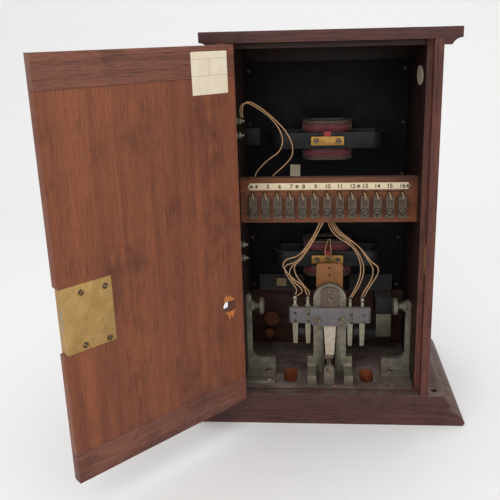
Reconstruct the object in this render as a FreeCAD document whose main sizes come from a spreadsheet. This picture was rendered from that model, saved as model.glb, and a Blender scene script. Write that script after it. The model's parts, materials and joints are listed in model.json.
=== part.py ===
"""Railway block instrument, modelled with its rear door open.

Millimetres, +Z up. -Y is the rear with the door, +Y the front with the dials. Sub-parts are drawn
from the plane of the case's rear edges, then moved so that the middle of the base's underside is
the origin.
"""
import FreeCAD
import Part
import math
import os
import re
import Sketcher
from FreeCAD import Placement, Rotation, Vector

# Driving dimensions: name, value, what it measures.
SIZES = [
    ("overall_height", 457.0, "table to the top of the cornice"),
    ("body_width", 232.0, "across the two sides"),
    ("body_depth", 164.0, "rear edges to the front of the case"),
    ("side_thickness", 15.0, "case side"),
    ("rebate_width", 5.8, "part of the side's edge that the door takes"),
    ("door_thickness", 11.5, "door panel"),
    ("door_gap", 1.0, "clearance round the closed door"),
    ("door_seat", 1.0, "gap between closed door and its stops"),
    ("base_height", 39.0, "base board"),
    ("base_flat", 17.3, "level margin of the base round the case"),
    ("base_mould", 26.7, "width of the base moulding"),
    ("base_slope_run", 8.7, "run of the moulding's upper slope"),
    ("base_slope_drop", 14.0, "drop of the moulding's upper slope"),
    ("base_step", 6.2, "upright step in the base moulding"),
    ("base_slope_radius", 26.0, "curve of the upper slope"),
    ("base_ovolo_radius", 24.0, "curve of the lower moulding"),
    ("base_foot_radius", 4.0, "rounded lower edge of the base"),
    ("cable_hole_x", 46.9, "cable hole from the middle"),
    ("cable_hole_y", 43.6, "cable hole from the rear"),
    ("cable_hole_radius", 8.3, "rounded ends of the cable holes"),
    ("cable_hole_reach", 8.5, "cable hole, middle to the centre of an end"),
    ("fixing_x", 124.8, "fixing hole from the middle"),
    ("fixing_rear", 13.0, "rear fixing holes from the rear"),
    ("fixing_pitch", 150.0, "rear to front fixing holes"),
    ("fixing_radius", 3.5, "fixing hole"),
    ("floor_thickness", 7.5, "floor board"),
    ("floor_step", 1.5, "floor board above the base"),
    ("cornice_overhang", 18.5, "cornice beyond the case"),
    ("cornice_board", 11.6, "top board over the case"),
    ("fascia_height", 10.9, "upright face of the cornice"),
    ("cornice_drop", 17.8, "cornice above its soffit"),
    ("cavetto_run", 10.6, "run of the hollow under the fascia"),
    ("cavetto_radius", 11.5, "hollow under the fascia"),
    ("stop_depth", 12.0, "door stop strip, front to back"),
    ("stop_height", 6.4, "door stop strip"),
    ("panel_setback", 32.4, "rear face of the black panels behind the front of the case"),
    ("panel_thickness", 6.0, "black panels"),
    ("panel_trim", 0.5, "panel edge to the case side"),
    ("lower_board_top", 118.3, "top of the lower board above the table"),
    ("lower_board_thickness", 10.0, "lower board"),
    ("panel_split", 240.6, "joint between the two black panels"),
    ("panel_headroom", 38.0, "top of the upper panel below the top of the cornice"),
    ("front_thickness", 14.0, "front board"),
    ("panel_screw_inset", 20.0, "panel screws inside the outer face of the case"),
    ("upper_axis_z", 328.5, "upper indicator arbor"),
    ("axis_pitch", 150.0, "upper to lower indicator arbor"),
    ("well_radius", 54.0, "round well behind each dial window"),
    ("window_radius", 50.0, "dial window"),
    ("bezel_width", 10.0, "bezel rim outside the window"),
    ("bezel_thickness", 5.0, "bezel"),
    ("bezel_lip", 1.5, "bezel over the glass"),
    ("card_thickness", 0.8, "dial card"),
    ("glass_thickness", 2.6, "dial glass"),
    ("fit_gap", 0.3, "general clearance"),
    ("running_gap", 0.05, "clearance of a shaft in its bore"),
    ("arbor_radius", 1.5, "indicator arbor"),
    ("pointer_length", 42.0, "indicator pointer above its arbor"),
    ("pointer_tail", 17.0, "indicator pointer below its arbor"),
    ("magnet_half_length", 69.3, "ring magnet, middle to its round end"),
    ("magnet_depth", 35.0, "ring magnet, rear to front"),
    ("magnet_rise", 19.0, "ring magnet, top to bottom"),
    ("magnet_wall", 3.5, "ring magnet's wall"),
    ("pillar_radius", 4.0, "magnet pillar"),
    ("pillar_x", 44.0, "magnet pillars from the middle"),
    ("pillar_length", 8.6, "magnet pillar"),
    ("coil_half_height", 23.3, "bobbin, arbor to the flange's face"),
    ("flange_thickness", 2.4, "bobbin flange"),
    ("flange_half_length", 31.0, "bobbin flange, half length"),
    ("flange_depth", 36.0, "bobbin flange, rear to front"),
    ("core_half_length", 24.0, "bobbin core, half length"),
    ("core_depth", 20.0, "bobbin core, rear to front"),
    ("core_wall", 1.5, "bobbin core wall"),
    ("cheek_gap", 3.2, "arbor to the bobbin's middle cheek"),
    ("wire_radius", 1.0, "winding wire with its covering"),
    ("wire_pitch", 2.45, "winding pitch"),
    ("bearing_width", 39.3, "rear bearing bar"),
    ("bearing_height", 10.6, "rear bearing bar"),
    ("bearing_thickness", 3.0, "rear bearing bar"),
    ("bearing_screw_x", 13.3, "bearing bar screw from the arbor"),
    ("board_y", 39.0, "rear face of the terminal board"),
    ("board_thickness", 10.0, "terminal board"),
    ("board_top", 294.0, "top of the terminal board"),
    ("board_height", 52.8, "terminal board"),
    ("terminal_margin", 31.6, "what the row of terminals leaves free between the sides"),
    ("terminal_count", 13, "terminals"),
    ("terminal_shift", -1.2, "middle terminal from the case's middle"),
    ("terminal_width", 9.4, "terminal block"),
    ("terminal_depth", 6.5, "terminal block"),
    ("terminal_height", 26.2, "terminal block"),
    ("terminal_low", 247.4, "foot of the terminal blocks"),
    ("tail_hole_z", 276.6, "wire holes in the terminal board"),
    ("tail_hole_radius", 1.3, "wire hole"),
    ("strip_low", 280.2, "foot of the number strip"),
    ("strip_height", 8.0, "number strip"),
    ("strip_margin", 8.4, "end of the number strip from the side"),
    ("strip_thickness", 1.0, "number strip"),
    ("commutator_x", 1.9, "commutator's middle"),
    ("frame_y", 44.0, "rear face of the arch"),
    ("frame_thickness", 8.0, "arch"),
    ("frame_top", 161.8, "top of the arch"),
    ("frame_half_width", 19.8, "arch, half width"),
    ("slot_half_top", 8.9, "arch slot, half width at its crown"),
    ("slot_half_foot", 6.6, "arch slot, half width at the floor"),
    ("slot_crown", 128.0, "where the arch slot starts to round over"),
    ("lug_rear", 18.7, "rear end of the foot lugs"),
    ("lug_width", 10.5, "foot lug"),
    ("lug_overlap", 3.0, "foot lug over the leg"),
    ("lug_rise", 12.8, "foot lug above the floor"),
    ("lug_fillet", 5.0, "curve from the foot lug up to the leg"),
    ("centre_lug_x", 0.7, "middle lug"),
    ("centre_lug_width", 12.5, "middle lug"),
    ("centre_lug_top", 67.0, "top of the middle lug"),
    ("centre_lug_depth", 8.0, "middle lug, rear to front"),
    ("bar_half_length", 49.0, "insulating bar, half length"),
    ("bar_low", 114.6, "foot of the insulating bar"),
    ("bar_high", 133.1, "top of the insulating bar"),
    ("bar_drop", 3.8, "middle of the bar below its ends"),
    ("bar_middle", 22.5, "dropped middle, half width"),
    ("bar_thickness", 8.0, "insulating bar"),
    ("bar_chamfer", 2.4, "bevel on the bar's upper edge"),
    ("bar_screw_x", 15.0, "bar screws from the middle"),
    ("bar_screw_z", 118.6, "bar screws"),
    ("spring_outer_left", 42.0, "left outer contact spring from the commutator's middle"),
    ("spring_inner_left", 26.5, "left inner contact spring from the commutator's middle"),
    ("spring_inner_right", 24.6, "right inner contact spring from the commutator's middle"),
    ("spring_outer_right", 39.2, "right outer contact spring from the commutator's middle"),
    ("spring_drop", 2.9, "right contact springs below the left ones"),
    ("spring_width", 6.8, "contact spring at the bar"),
    ("spring_tip_width", 5.0, "contact spring at its tip"),
    ("spring_low", 83.7, "contact spring tips"),
    ("spring_high", 144.2, "contact spring tags"),
    ("spring_thickness", 0.7, "contact spring"),
    ("shaft_z", 99.0, "commutator shaft"),
    ("shaft_radius", 4.0, "commutator shaft"),
    ("arm_reach", 38.4, "cross arm, middle to its end"),
    ("arm_block", 8.6, "contact block on the cross arm"),
    ("arm_rise", 11.0, "cross arm"),
    ("arm_thickness", 6.0, "cross arm, rear to front"),
    ("leaf_top", 118.0, "top of the friction leaf"),
    ("leaf_foot_y", 34.0, "friction leaf at its pin"),
    ("leaf_foot_z", 70.9, "friction leaf's pin"),
    ("leaf_top_width", 15.9, "friction leaf under the bar"),
    ("leaf_foot_width", 10.2, "friction leaf at its pin"),
    ("leaf_thickness", 0.8, "friction leaf"),
    ("pin_radius", 3.1, "friction leaf's pin"),
    ("fibre_half_width", 10.9, "fibre block, half width"),
    ("fibre_thickness", 4.0, "fibre block"),
    ("fibre_low", 133.5, "foot of the fibre block"),
    ("barrier_half_width", 16.0, "barrier plate, half width"),
    ("barrier_top", 185.3, "top of the barrier plate"),
    ("barrier_low", 139.0, "foot of the barrier plate"),
    ("barrier_thickness", 1.6, "barrier plate"),
    ("bracket_foot", 35.0, "side bracket foot, from its arm's outer face"),
    ("left_foot_rear", 18.5, "rear end of the left bracket's foot"),
    ("right_foot_rear", 38.0, "rear end of the right bracket's foot"),
    ("bracket_web", 14.5, "bracket's web above its foot"),
    ("bracket_foot_rise", 5.0, "bracket foot"),
    ("bracket_arm", 6.4, "bracket arm's width"),
    ("bracket_y", 51.0, "rear face of a bracket arm"),
    ("bracket_thickness", 6.5, "bracket arm, rear to front"),
    ("bracket_web_thickness", 11.0, "bracket's web, rear to front"),
    ("left_bracket_top", 145.8, "top of the left bracket arm"),
    ("right_bracket_top", 137.0, "top of the right bracket arm"),
    ("stop_screw_z", 129.4, "stop screws"),
    ("stop_disc_radius", 10.6, "stop screw's disc"),
    ("stop_disc_thickness", 5.0, "stop screw's disc"),
    ("stop_cone_length", 9.0, "cone behind the disc"),
    ("stop_cone_radius", 7.0, "cone at the arm"),
    ("stop_shank_radius", 2.6, "stop screw's shank"),
    ("key_x", 72.9, "bell key's middle"),
    ("key_width", 22.0, "key block"),
    ("key_block_low", 99.3, "foot of the key block"),
    ("key_block_high", 121.5, "top of the key block"),
    ("key_block_depth", 35.6, "key block behind the black panels"),
    ("blade_inset", 1.4, "contact blade inside the key block"),
    ("blade_width", 19.3, "contact blade"),
    ("blade_low", 66.7, "foot of the contact blade"),
    ("blade_thickness", 0.9, "contact blade"),
    ("anvil_low", 64.2, "foot of the back contact bar"),
    ("anvil_height", 10.0, "back contact bar"),
    ("anvil_left", 29.8, "left end of the back contact bar"),
    ("anvil_thickness", 6.0, "back contact bar"),
    ("plunger_z", 83.0, "bell plunger"),
    ("plunger_radius", 3.0, "bell plunger rod"),
    ("plunger_travel", 4.0, "bell plunger's travel"),
    ("button_radius", 8.5, "bell plunger button"),
    ("bush_radius", 12.5, "bell plunger bush"),
    ("bush_thickness", 4.0, "front bush and escutcheon"),
    ("escutcheon_radius", 17.0, "handle escutcheon"),
    ("handle_length", 46.0, "handle, shaft to its tip"),
    ("door_open_angle", 133.5, "door as it stands"),
    ("door_clamp_width", 31.0, "cross-grained ends of the door"),
    ("knuckle_radius", 2.2, "hinge knuckle"),
    ("hinge_pin_radius", 1.1, "hinge pin"),
    ("hinge_leaf", 1.2, "hinge leaf thickness"),
    ("hinge_height", 50.0, "hinge"),
    ("hinge_low_z", 85.0, "foot of the lower hinge"),
    ("hinge_drop", 108.0, "foot of the upper hinge below the top of the cornice"),
    ("lock_low", 175.0, "foot of the lock"),
    ("lock_height", 65.5, "lock"),
    ("lock_inset", 3.8, "lock's face behind the door's edge"),
    ("lock_plate_width", 49.0, "lock's cap plate"),
    ("lock_plate_thickness", 1.6, "lock's plates"),
    ("lock_case_thickness", 7.0, "lock case"),
    ("bolt_height", 22.0, "lock bolt"),
    ("bolt_thickness", 4.2, "lock bolt"),
    ("bolt_travel", 8.0, "lock bolt's throw"),
    ("bolt_length", 24.0, "lock bolt"),
    ("door_hole_u", 20.2, "hole through the door from its hinge"),
    ("door_hole_z", 164.5, "hole through the door"),
    ("door_hole_radius", 4.6, "hole through the door"),
    ("lead_radius", 0.65, "covered wire"),
    ("panel_screw_radius", 2.2, "small screw heads"),
    ("screw_slot", 0.9, "screwdriver slot"),
]
# Places that follow from the sizes: name, formula, what it gives.
DERIVED = [
    ("panel_y", "body_depth - panel_setback", "rear face of the black panels"),
    ("upper_panel_top", "overall_height - panel_headroom", "top of the upper panel"),
    ("panel_screw_x", "body_width/2 - panel_screw_inset", "panel screws from the middle"),
    ("key_rear", "panel_y - key_block_depth", "rear face of the key block"),
    ("blade_y", "key_rear + blade_inset", "rear face of the contact blade"),
    ("hinge_high_z", "overall_height - hinge_drop", "foot of the upper hinge"),
    ("terminal_pitch", "(body_width - 2*side_thickness - terminal_margin)/(terminal_count - 1)",
     "terminal to terminal"),
    ("strip_half_length", "body_width/2 - side_thickness - strip_margin", "number strip, half length"),
]

doc = FreeCAD.newDocument("block_instrument")
sheet = doc.addObject("Spreadsheet::Sheet", "Sizes")
for row, (alias, value, meaning) in enumerate(SIZES + DERIVED, 1):
    sheet.set(f"A{row}", meaning)
    sheet.set(f"B{row}", f"={value}")
    sheet.setAlias(f"B{row}", alias)
doc.recompute()

NAMES = re.compile(r"\b(" + "|".join(sorted((s[0] for s in SIZES + DERIVED), key=len, reverse=True))
                   + r")\b")
PLANES = {"XY": "XY_Plane", "XZ": "XZ_Plane", "YZ": "YZ_Plane"}
AXES = {"x": Rotation(Vector(0, 0, 1), Vector(1, 0, 0)),
        "y": Rotation(Vector(0, 0, 1), Vector(0, 1, 0)),
        "z": Rotation()}
nodes = []


# Words used below for places that several pieces share.
HALF = "(body_width/2)"
INNER = "(body_width/2 - side_thickness)"
STRIP = "(side_thickness - rebate_width)"
REBATE = "(door_thickness + door_seat)"
BASE_HALF = "(body_width/2 + base_flat + base_mould)"
BASE_DEPTH = "(body_depth + base_flat + base_mould)"
FLOOR = "(base_height + floor_step)"
CEILING = "(overall_height - cornice_board)"
FRONT_BACK = "(body_depth - front_thickness)"
BOARD_BACK = "(panel_y + panel_thickness)"
LOWER_AXIS = "(upper_axis_z - axis_pitch)"
MAGNET_Y = "(panel_y - pillar_length - magnet_depth/2)"
BAR_Y = "(panel_y - pillar_length - magnet_depth)"
DOOR_LOW = "(base_height + door_gap)"
DOOR_HIGH = "(overall_height - cornice_board - door_gap)"
DOOR_NEAR = "(door_gap/2)"
DOOR_FAR = "(body_width - 2*(side_thickness - rebate_width) - 3*door_gap/2)"
PIN_X = "(door_gap/2 + side_thickness - rebate_width - body_width/2)"
PIN_OUT = "(knuckle_radius + fit_gap)"
DOOR_OUT = "(knuckle_radius + fit_gap)"
DOOR_IN = "(knuckle_radius + fit_gap + door_thickness)"


def bound(text):
    """Write an expression over the sheet's names."""
    return NAMES.sub(r"Sizes.\1", str(text))


def size(text):
    """Value of an expression over the sheet's names."""
    return float(sheet.evalExpression(bound(text)))


def at(*texts):
    """Vector whose coordinates are expressions."""
    return Vector(*[size(text) for text in texts])


def put(piece, base=("0", "0", "0"), turn=None):
    """Place a piece, with its position bound to the sheet."""
    piece.Placement = Placement(at(*base), turn or Rotation())
    for letter, text in zip("xyz", base):
        piece.setExpression(f"Placement.Base.{letter}", bound(text))
    return piece


def export(piece, name):
    """Name a finished sub-part, move it to the shared origin and list it for writing."""
    bindings = {path.lstrip("."): text for path, text in piece.ExpressionEngine}
    drawn = bindings.get("Placement.Base.y", piece.Placement.Base.y)
    piece.setExpression("Placement.Base.y", f"({drawn}) - {bound(BASE_DEPTH)}/2")
    piece.Label = name
    nodes.append(piece)
    return piece


# Primitives.
def block(name, low, extent):
    """Box from its low corner and its extent."""
    made = doc.addObject("Part::Box", name)
    for side, text in zip(("Length", "Width", "Height"), extent):
        made.setExpression(side, bound(text))
    return put(made, low)


def rod(name, base, axis, radius, length):
    """Cylinder along a row axis."""
    made = doc.addObject("Part::Cylinder", name)
    made.setExpression("Radius", bound(radius))
    made.setExpression("Height", bound(length))
    return put(made, base, AXES[axis])


def fuse(name, *pieces):
    """Union of pieces."""
    made = doc.addObject("Part::MultiFuse", name)
    made.Shapes = list(pieces)
    return made


def cut(name, base, *tools):
    """Base piece less its tools."""
    made = doc.addObject("Part::Cut", name)
    made.Base = base
    made.Tool = tools[0] if len(tools) == 1 else fuse(name + "_tools", *tools)
    return made


def group(name, *pieces):
    """Separate solids that share one node."""
    made = doc.addObject("Part::Compound", name)
    made.Links = list(pieces)
    return made


def copies(name, shape, spots, turns=None):
    """Separate copies of one solid at several places."""
    made = doc.addObject("Part::Feature", name)
    turns = turns or [Rotation()] * len(spots)
    placed = []
    for spot, turn in zip(spots, turns):
        one = shape.copy()
        one.Placement = Placement(at(*spot), turn).multiply(one.Placement)
        placed.append(one)
    made.Shape = Part.makeCompound(placed)
    return made


# Sketched bodies.
def arc_between(start, end, radius, turn):
    """Minor arc; turn 1 runs anticlockwise, -1 clockwise."""
    chord = end - start
    half = chord.Length / 2
    rise = math.sqrt(max(radius * radius - half * half, 0.0))
    left = Vector(-chord.y, chord.x, 0).normalize()
    centre = (start + end) * 0.5 + left * rise * turn
    first, last = (start, end) if turn > 0 else (end, start)
    angles = [math.atan2(p.y - centre.y, p.x - centre.x) for p in (first, last)]
    return Part.ArcOfCircle(Part.Circle(centre, Vector(0, 0, 1), radius), *angles)


def draw_outline(sketch, outline):
    """Closed outline; a corner is (x, y), or (x, y, radius, turn) where an arc ends there."""
    corners = [at(c[0], c[1], "0") for c in outline]
    ends = []
    for index, corner in enumerate(outline):
        start, end = corners[index - 1], corners[index]
        if len(corner) == 2:
            ends.append((sketch.addGeometry(Part.LineSegment(start, end), False), 1, 2))
            continue
        curve = arc_between(start, end, size(corner[2]), corner[3])
        number = sketch.addGeometry(curve, False)
        ends.append((number, 1, 2) if corner[3] > 0 else (number, 2, 1))
        fixed = sketch.addConstraint(Sketcher.Constraint("Radius", number, size(corner[2])))
        sketch.setExpression(f"Constraints[{fixed}]", bound(corner[2]))
    for index, (number, _, last) in enumerate(ends):
        following, first, _ = ends[(index + 1) % len(ends)]
        sketch.addConstraint(Sketcher.Constraint("Coincident", number, last, following, first))
    for (number, _, last), corner, where in zip(ends, outline, corners):
        for kind, text, value in (("DistanceX", corner[0], where.x), ("DistanceY", corner[1], where.y)):
            fixed = sketch.addConstraint(Sketcher.Constraint(kind, -1, 1, number, last, value))
            sketch.setExpression(f"Constraints[{fixed}]", bound(text))


def draw_circle(sketch, circle):
    """Circle given as (x, y, radius)."""
    centre, radius = at(circle[0], circle[1], "0"), size(circle[2])
    number = sketch.addGeometry(Part.Circle(centre, Vector(0, 0, 1), radius), False)
    for kind, text, value in (("DistanceX", circle[0], centre.x), ("DistanceY", circle[1], centre.y)):
        fixed = sketch.addConstraint(Sketcher.Constraint(kind, -1, 1, number, 3, value))
        sketch.setExpression(f"Constraints[{fixed}]", bound(text))
    fixed = sketch.addConstraint(Sketcher.Constraint("Radius", number, radius))
    sketch.setExpression(f"Constraints[{fixed}]", bound(circle[2]))


def sketch_on(body, plane, shapes, start="0"):
    """Sketch on one of the body's own planes, moved to start along the row axis."""
    sketch = body.newObject("Sketcher::SketchObject", f"{body.Name}_sketch")
    origin = [f for f in body.Origin.OriginFeatures if f.Role == PLANES[plane]][0]
    sketch.AttachmentSupport = [(origin, "")]
    sketch.MapMode = "FlatFace"
    offset = f"-({start})" if plane == "XZ" else start
    sketch.AttachmentOffset = Placement(Vector(0, 0, size(offset)), Rotation())
    sketch.setExpression("AttachmentOffset.Base.z", bound(offset))
    for shape in shapes:
        if isinstance(shape, tuple):
            draw_circle(sketch, shape)
        else:
            draw_outline(sketch, shape)
    return sketch


def new_body(name):
    """Empty body."""
    return doc.addObject("PartDesign::Body", name)


def pad(body, plane, shapes, start, length):
    """Add a prism from start, towards the row axis."""
    feature = body.newObject("PartDesign::Pad", f"{body.Name}_pad")
    feature.Profile = sketch_on(body, plane, shapes, start)
    feature.setExpression("Length", bound(length))
    feature.Reversed = plane == "XZ"
    doc.recompute()
    return body


def pocket(body, plane, shapes, start, length):
    """Cut a prism from start, towards the row axis."""
    before = body.Shape.Volume
    feature = body.newObject("PartDesign::Pocket", f"{body.Name}_pocket")
    feature.Profile = sketch_on(body, plane, shapes, start)
    feature.setExpression("Length", bound(length))
    feature.Reversed = plane != "XZ"
    doc.recompute()
    if body.Shape.Volume > before - 1e-6:
        raise RuntimeError(f"{body.Name}: a pocket cut nothing")
    return body


def turned(body, plane, outline, along):
    """Add a solid turned about the sketch's H_Axis or V_Axis."""
    feature = body.newObject("PartDesign::Revolution", f"{body.Name}_turned")
    sketch = sketch_on(body, plane, [outline])
    feature.Profile = sketch
    feature.ReferenceAxis = (sketch, [along])
    feature.Angle = 360
    doc.recompute()
    return body


def rectangle(left, low, right, high):
    """Outline of a rectangle."""
    return [(left, low), (right, low), (right, high), (left, high)]


def stadium(half_length, depth, middle):
    """Outline of a slot shape along X, centred on y = middle."""
    radius = f"({depth})/2"
    straight = f"(({half_length}) - {radius})"
    return [(f"-{straight}", f"{middle} - {radius}"),
            (straight, f"{middle} - {radius}"),
            (half_length, middle, radius, 1),
            (straight, f"{middle} + {radius}", radius, 1),
            (f"-{straight}", f"{middle} + {radius}"),
            (f"-({half_length})", middle, radius, 1),
            (f"-{straight}", f"{middle} - {radius}", radius, 1)][1:]


def cable_slot(middle):
    """Outline of a cable hole, long from front to back, centred on x = middle."""
    radius = "cable_hole_radius"
    near, far = "cable_hole_y - cable_hole_reach", "cable_hole_y + cable_hole_reach"
    left, right = f"{middle} - {radius}", f"{middle} + {radius}"
    return [(left, near), (middle, f"{near} - {radius}", radius, 1), (right, near, radius, 1),
            (right, far), (middle, f"{far} + {radius}", radius, 1), (left, far, radius, 1)]


def mirrored(points):
    """Outline over both sides of x = 0, from the points of its right half, bottom to top."""
    right = list(points)
    left = []
    for index in range(len(right) - 1, -1, -1):
        corner = (f"-({right[index][0]})", right[index][1])
        following = right[index + 1] if index + 1 < len(right) else None
        if following and len(following) == 4:
            corner += (following[2], following[3])
        left.append(corner)
    return right + left


# Case.
def base_moulding(edge, height_from="0"):
    """Right half of the base's section, from its foot up; edge is the outermost line."""
    inner = f"({edge} - base_mould)"
    return [(f"{edge} - base_foot_radius", height_from),
            (edge, "base_foot_radius", "base_foot_radius", 1),
            (f"{inner} + base_slope_run", "base_height - base_slope_drop - base_step",
             "base_ovolo_radius", 1),
            (f"{inner} + base_slope_run", "base_height - base_slope_drop"),
            (inner, "base_height", "base_slope_radius", 1)]


def front_trim(section, edge, high, low):
    """Region in front of a moulded section, as an outline in Y and Z."""
    return [(f"{edge} + 5", low)] + [(f"{edge} + 5", high), (section[-1][0], high)] + [
        (section[i][0], section[i][1]) + ((section[i + 1][2], -section[i + 1][3])
                                          if len(section[i + 1]) == 4 else ())
        for i in range(len(section) - 2, -1, -1)] + [(section[0][0], low)]


def make_base():
    """Moulded base, flush at the rear, with a recess for the floor, cable and fixing holes."""
    body = new_body("base_board")
    pad(body, "XZ", [mirrored(base_moulding(BASE_HALF))], "0", f"{BASE_DEPTH} + 2")
    section = base_moulding(BASE_DEPTH)
    outline = front_trim(section, BASE_DEPTH, "base_height + 5", "-5")
    outline[2] = (outline[2][0], "base_height + 5")
    outline.insert(3, (section[-1][0], "base_height"))
    pocket(body, "YZ", [outline], f"-{BASE_HALF} - 5", f"2*{BASE_HALF} + 10")
    pocket(body, "XY", [rectangle(f"-{INNER}", REBATE, INNER, FRONT_BACK)],
           f"{FLOOR} - floor_thickness", "floor_thickness")
    cable = [cable_slot(middle) for middle in ("-cable_hole_x", "cable_hole_x")]
    fixing = [(f"{sign}fixing_x", f"fixing_rear + {row}*fixing_pitch", "fixing_radius")
              for sign in ("-", "") for row in (0, 1)]
    pocket(body, "XY", cable + fixing, "-1", "base_height + 2")
    export(body, "base_board")


def make_floor():
    """Floor board, let into the base."""
    body = new_body("floor_board")
    outline = rectangle(f"-{INNER}", REBATE, INNER, FRONT_BACK)
    cable = [cable_slot(middle) for middle in ("-cable_hole_x", "cable_hole_x")]
    pad(body, "XY", [outline] + cable, f"{FLOOR} - floor_thickness", "floor_thickness")
    export(body, "floor_board")


def make_side(name, sign):
    """Case side with the door's rebate in its rear inner edge."""
    body = new_body(name)
    corners = [(INNER, REBATE), (INNER, "body_depth"), (HALF, "body_depth"), (HALF, "0"),
               (f"{HALF} - {STRIP}", "0"), (f"{HALF} - {STRIP}", REBATE)]
    pad(body, "XY", [[(f"{sign}*({x})", y) for x, y in corners]], "base_height",
        f"{CEILING} - base_height")
    if sign < 0:
        for low in ("hinge_low_z", "hinge_high_z"):
            recess = rectangle(f"-{HALF} + {STRIP} - hinge_leaf", "-1", f"-{HALF} + {STRIP} + 1",
                               "door_thickness - 1")
            pocket(body, "XY", [recess], low, "hinge_height")
        return export(body, name)
    seat = rectangle(f"{HALF} - {STRIP} - 1", "strike_low", f"{HALF} - {STRIP} + 1.5", "strike_high")
    seat = [(x, {"strike_low": BOLT_MIDDLE + " - bolt_thickness/2 - 3",
                 "strike_high": BOLT_MIDDLE + " + bolt_thickness/2 + 3"}[y]) for x, y in seat]
    pocket(body, "XY", [seat], "lock_low + lock_height/2 - bolt_height/2 - 7", "bolt_height + 14")
    mortise = rectangle(f"{HALF} - {STRIP} - 1", BOLT_MIDDLE + " - bolt_thickness/2 - 0.6",
                        f"{HALF} - {STRIP} + 5.2", BOLT_MIDDLE + " + bolt_thickness/2 + 0.6")
    pocket(body, "XY", [mortise], "lock_low + lock_height/2 - bolt_height/2 - 0.6",
           "bolt_height + 1.2")
    return export(body, name)


def make_cornice():
    """Top board with its fascia and hollow, recessed over the case."""
    def section(edge):
        return [(f"{edge} - cavetto_run", "overall_height - cornice_drop"),
                (edge, "overall_height - fascia_height", "cavetto_radius", -1),
                (edge, "overall_height")]
    body = new_body("cornice")
    half = f"({HALF} + cornice_overhang)"
    depth = "(body_depth + cornice_overhang)"
    pad(body, "XZ", [mirrored(section(half))], "0", f"{depth} + 2")
    low = "overall_height - cornice_drop - 5"
    trim = [(f"{depth} + 5", low), (f"{depth} + 5", "overall_height + 5"), (depth, "overall_height + 5"),
            (depth, "overall_height - fascia_height"),
            (f"{depth} - cavetto_run", "overall_height - cornice_drop", "cavetto_radius", 1),
            (f"{depth} - cavetto_run", low)]
    pocket(body, "YZ", [trim], f"-{half} - 5", f"2*{half} + 10")
    pocket(body, "XY", [rectangle(f"-{HALF}", "-1", HALF, "body_depth")], low, f"{CEILING} - ({low})")
    export(body, "cornice")


def make_case_boards():
    """Door stop, front board, dial board, lower board and black panels."""
    stop = block("top_rail", (f"-{INNER}", REBATE, f"{CEILING} - stop_height"),
                 (f"2*{INNER}", "stop_depth", "stop_height"))
    export(stop, "top_rail")

    front = new_body("front_board")
    windows = [("0", axis, "window_radius") for axis in ("upper_axis_z", LOWER_AXIS)]
    shafts = [("commutator_x", "shaft_z", "shaft_radius + fit_gap"),
              ("key_x", "plunger_z", "plunger_radius + fit_gap")]
    pad(front, "XZ", [rectangle(f"-{INNER}", "base_height", INNER, CEILING)] + windows + shafts,
        FRONT_BACK, "front_thickness")
    export(front, "front_board")

    dial = new_body("dial_board")
    wells = [("0", axis, "well_radius") for axis in ("upper_axis_z", LOWER_AXIS)]
    pad(dial, "XZ", [rectangle(f"-{INNER}", "lower_board_top", INNER, CEILING)] + wells,
        BOARD_BACK, f"{FRONT_BACK} - {BOARD_BACK}")
    export(dial, "dial_board")

    lower = new_body("lower_board")
    holes = [("commutator_x", "shaft_z", "shaft_radius + fit_gap"),
             ("key_x", "plunger_z", "plunger_radius + fit_gap")]
    pad(lower, "XZ", [rectangle(f"-{INNER}", FLOOR, INNER, "lower_board_top")] + holes,
        "panel_y", f"{BOARD_BACK} - panel_y")
    export(lower, "lower_board")

    spans = {"lower_panel": ("lower_board_top", "panel_split", LOWER_AXIS),
             "upper_panel": ("panel_split", "upper_panel_top", "upper_axis_z")}
    for name, (low, high, axis) in spans.items():
        panel = new_body(name)
        pad(panel, "XZ", [rectangle(f"-{INNER} + panel_trim", low, f"{INNER} - panel_trim", high),
                          ("0", axis, "arbor_radius + running_gap")], "panel_y", "panel_thickness")
        export(panel, name)


def slotted_screw(name, radius, head, shank_radius, shank):
    """Round-headed screw; its head rises towards -Y from the origin, its shank runs to +Y."""
    body = new_body(name)
    outline = [("0", f"-({head})"), (f"{radius} - ({head})/2", f"-({head})"),
               (radius, f"-({head})/2", f"({head})/2", 1), (radius, "0"), (shank_radius, "0"),
               (shank_radius, shank), ("0", shank)]
    outline[2] = (radius, f"-({head})/2")
    turned(body, "XY", outline, "V_Axis")
    pocket(body, "XY", [rectangle(f"-({radius}) - 1", f"-({head}) - 1", f"{radius} + 1",
                                  f"-({head})/2")], "-screw_slot/2", "screw_slot")
    return body


def spins(angles):
    """Turns about Y, in degrees."""
    return [Rotation(Vector(0, 1, 0), angle) for angle in angles]


def make_panel_screws():
    """Small screws that hold the black panels."""
    screw = slotted_screw("panel_screw", "panel_screw_radius", "1.2", "1.2", "-0.2")
    places = [("-panel_screw_x - 0.3", "upper_panel_top - 9.8"), ("panel_screw_x - 0.5", "upper_panel_top - 9.8"),
              ("-panel_screw_x - 1", "upper_panel_top - 74.8"), ("panel_screw_x - 0.6", "upper_panel_top - 75.6"),
              ("panel_screw_x - 0.6", "upper_panel_top - 141.3"), ("-panel_screw_x - 2.2", "panel_split - 47.6"),
              ("panel_screw_x - 3.1", "panel_split - 48"), ("-panel_screw_x - 2.2", "lower_board_top + 9.3"),
              ("panel_screw_x - 3.4", "lower_board_top + 8.7")]
    spots = [(column, "panel_y", row) for column, row in places]
    export(copies("panel_screws", screw.Shape, spots, spins([20, 70, 110, 35, 80, 5, 150, 60, 95])),
           "panel_screws")


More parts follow.
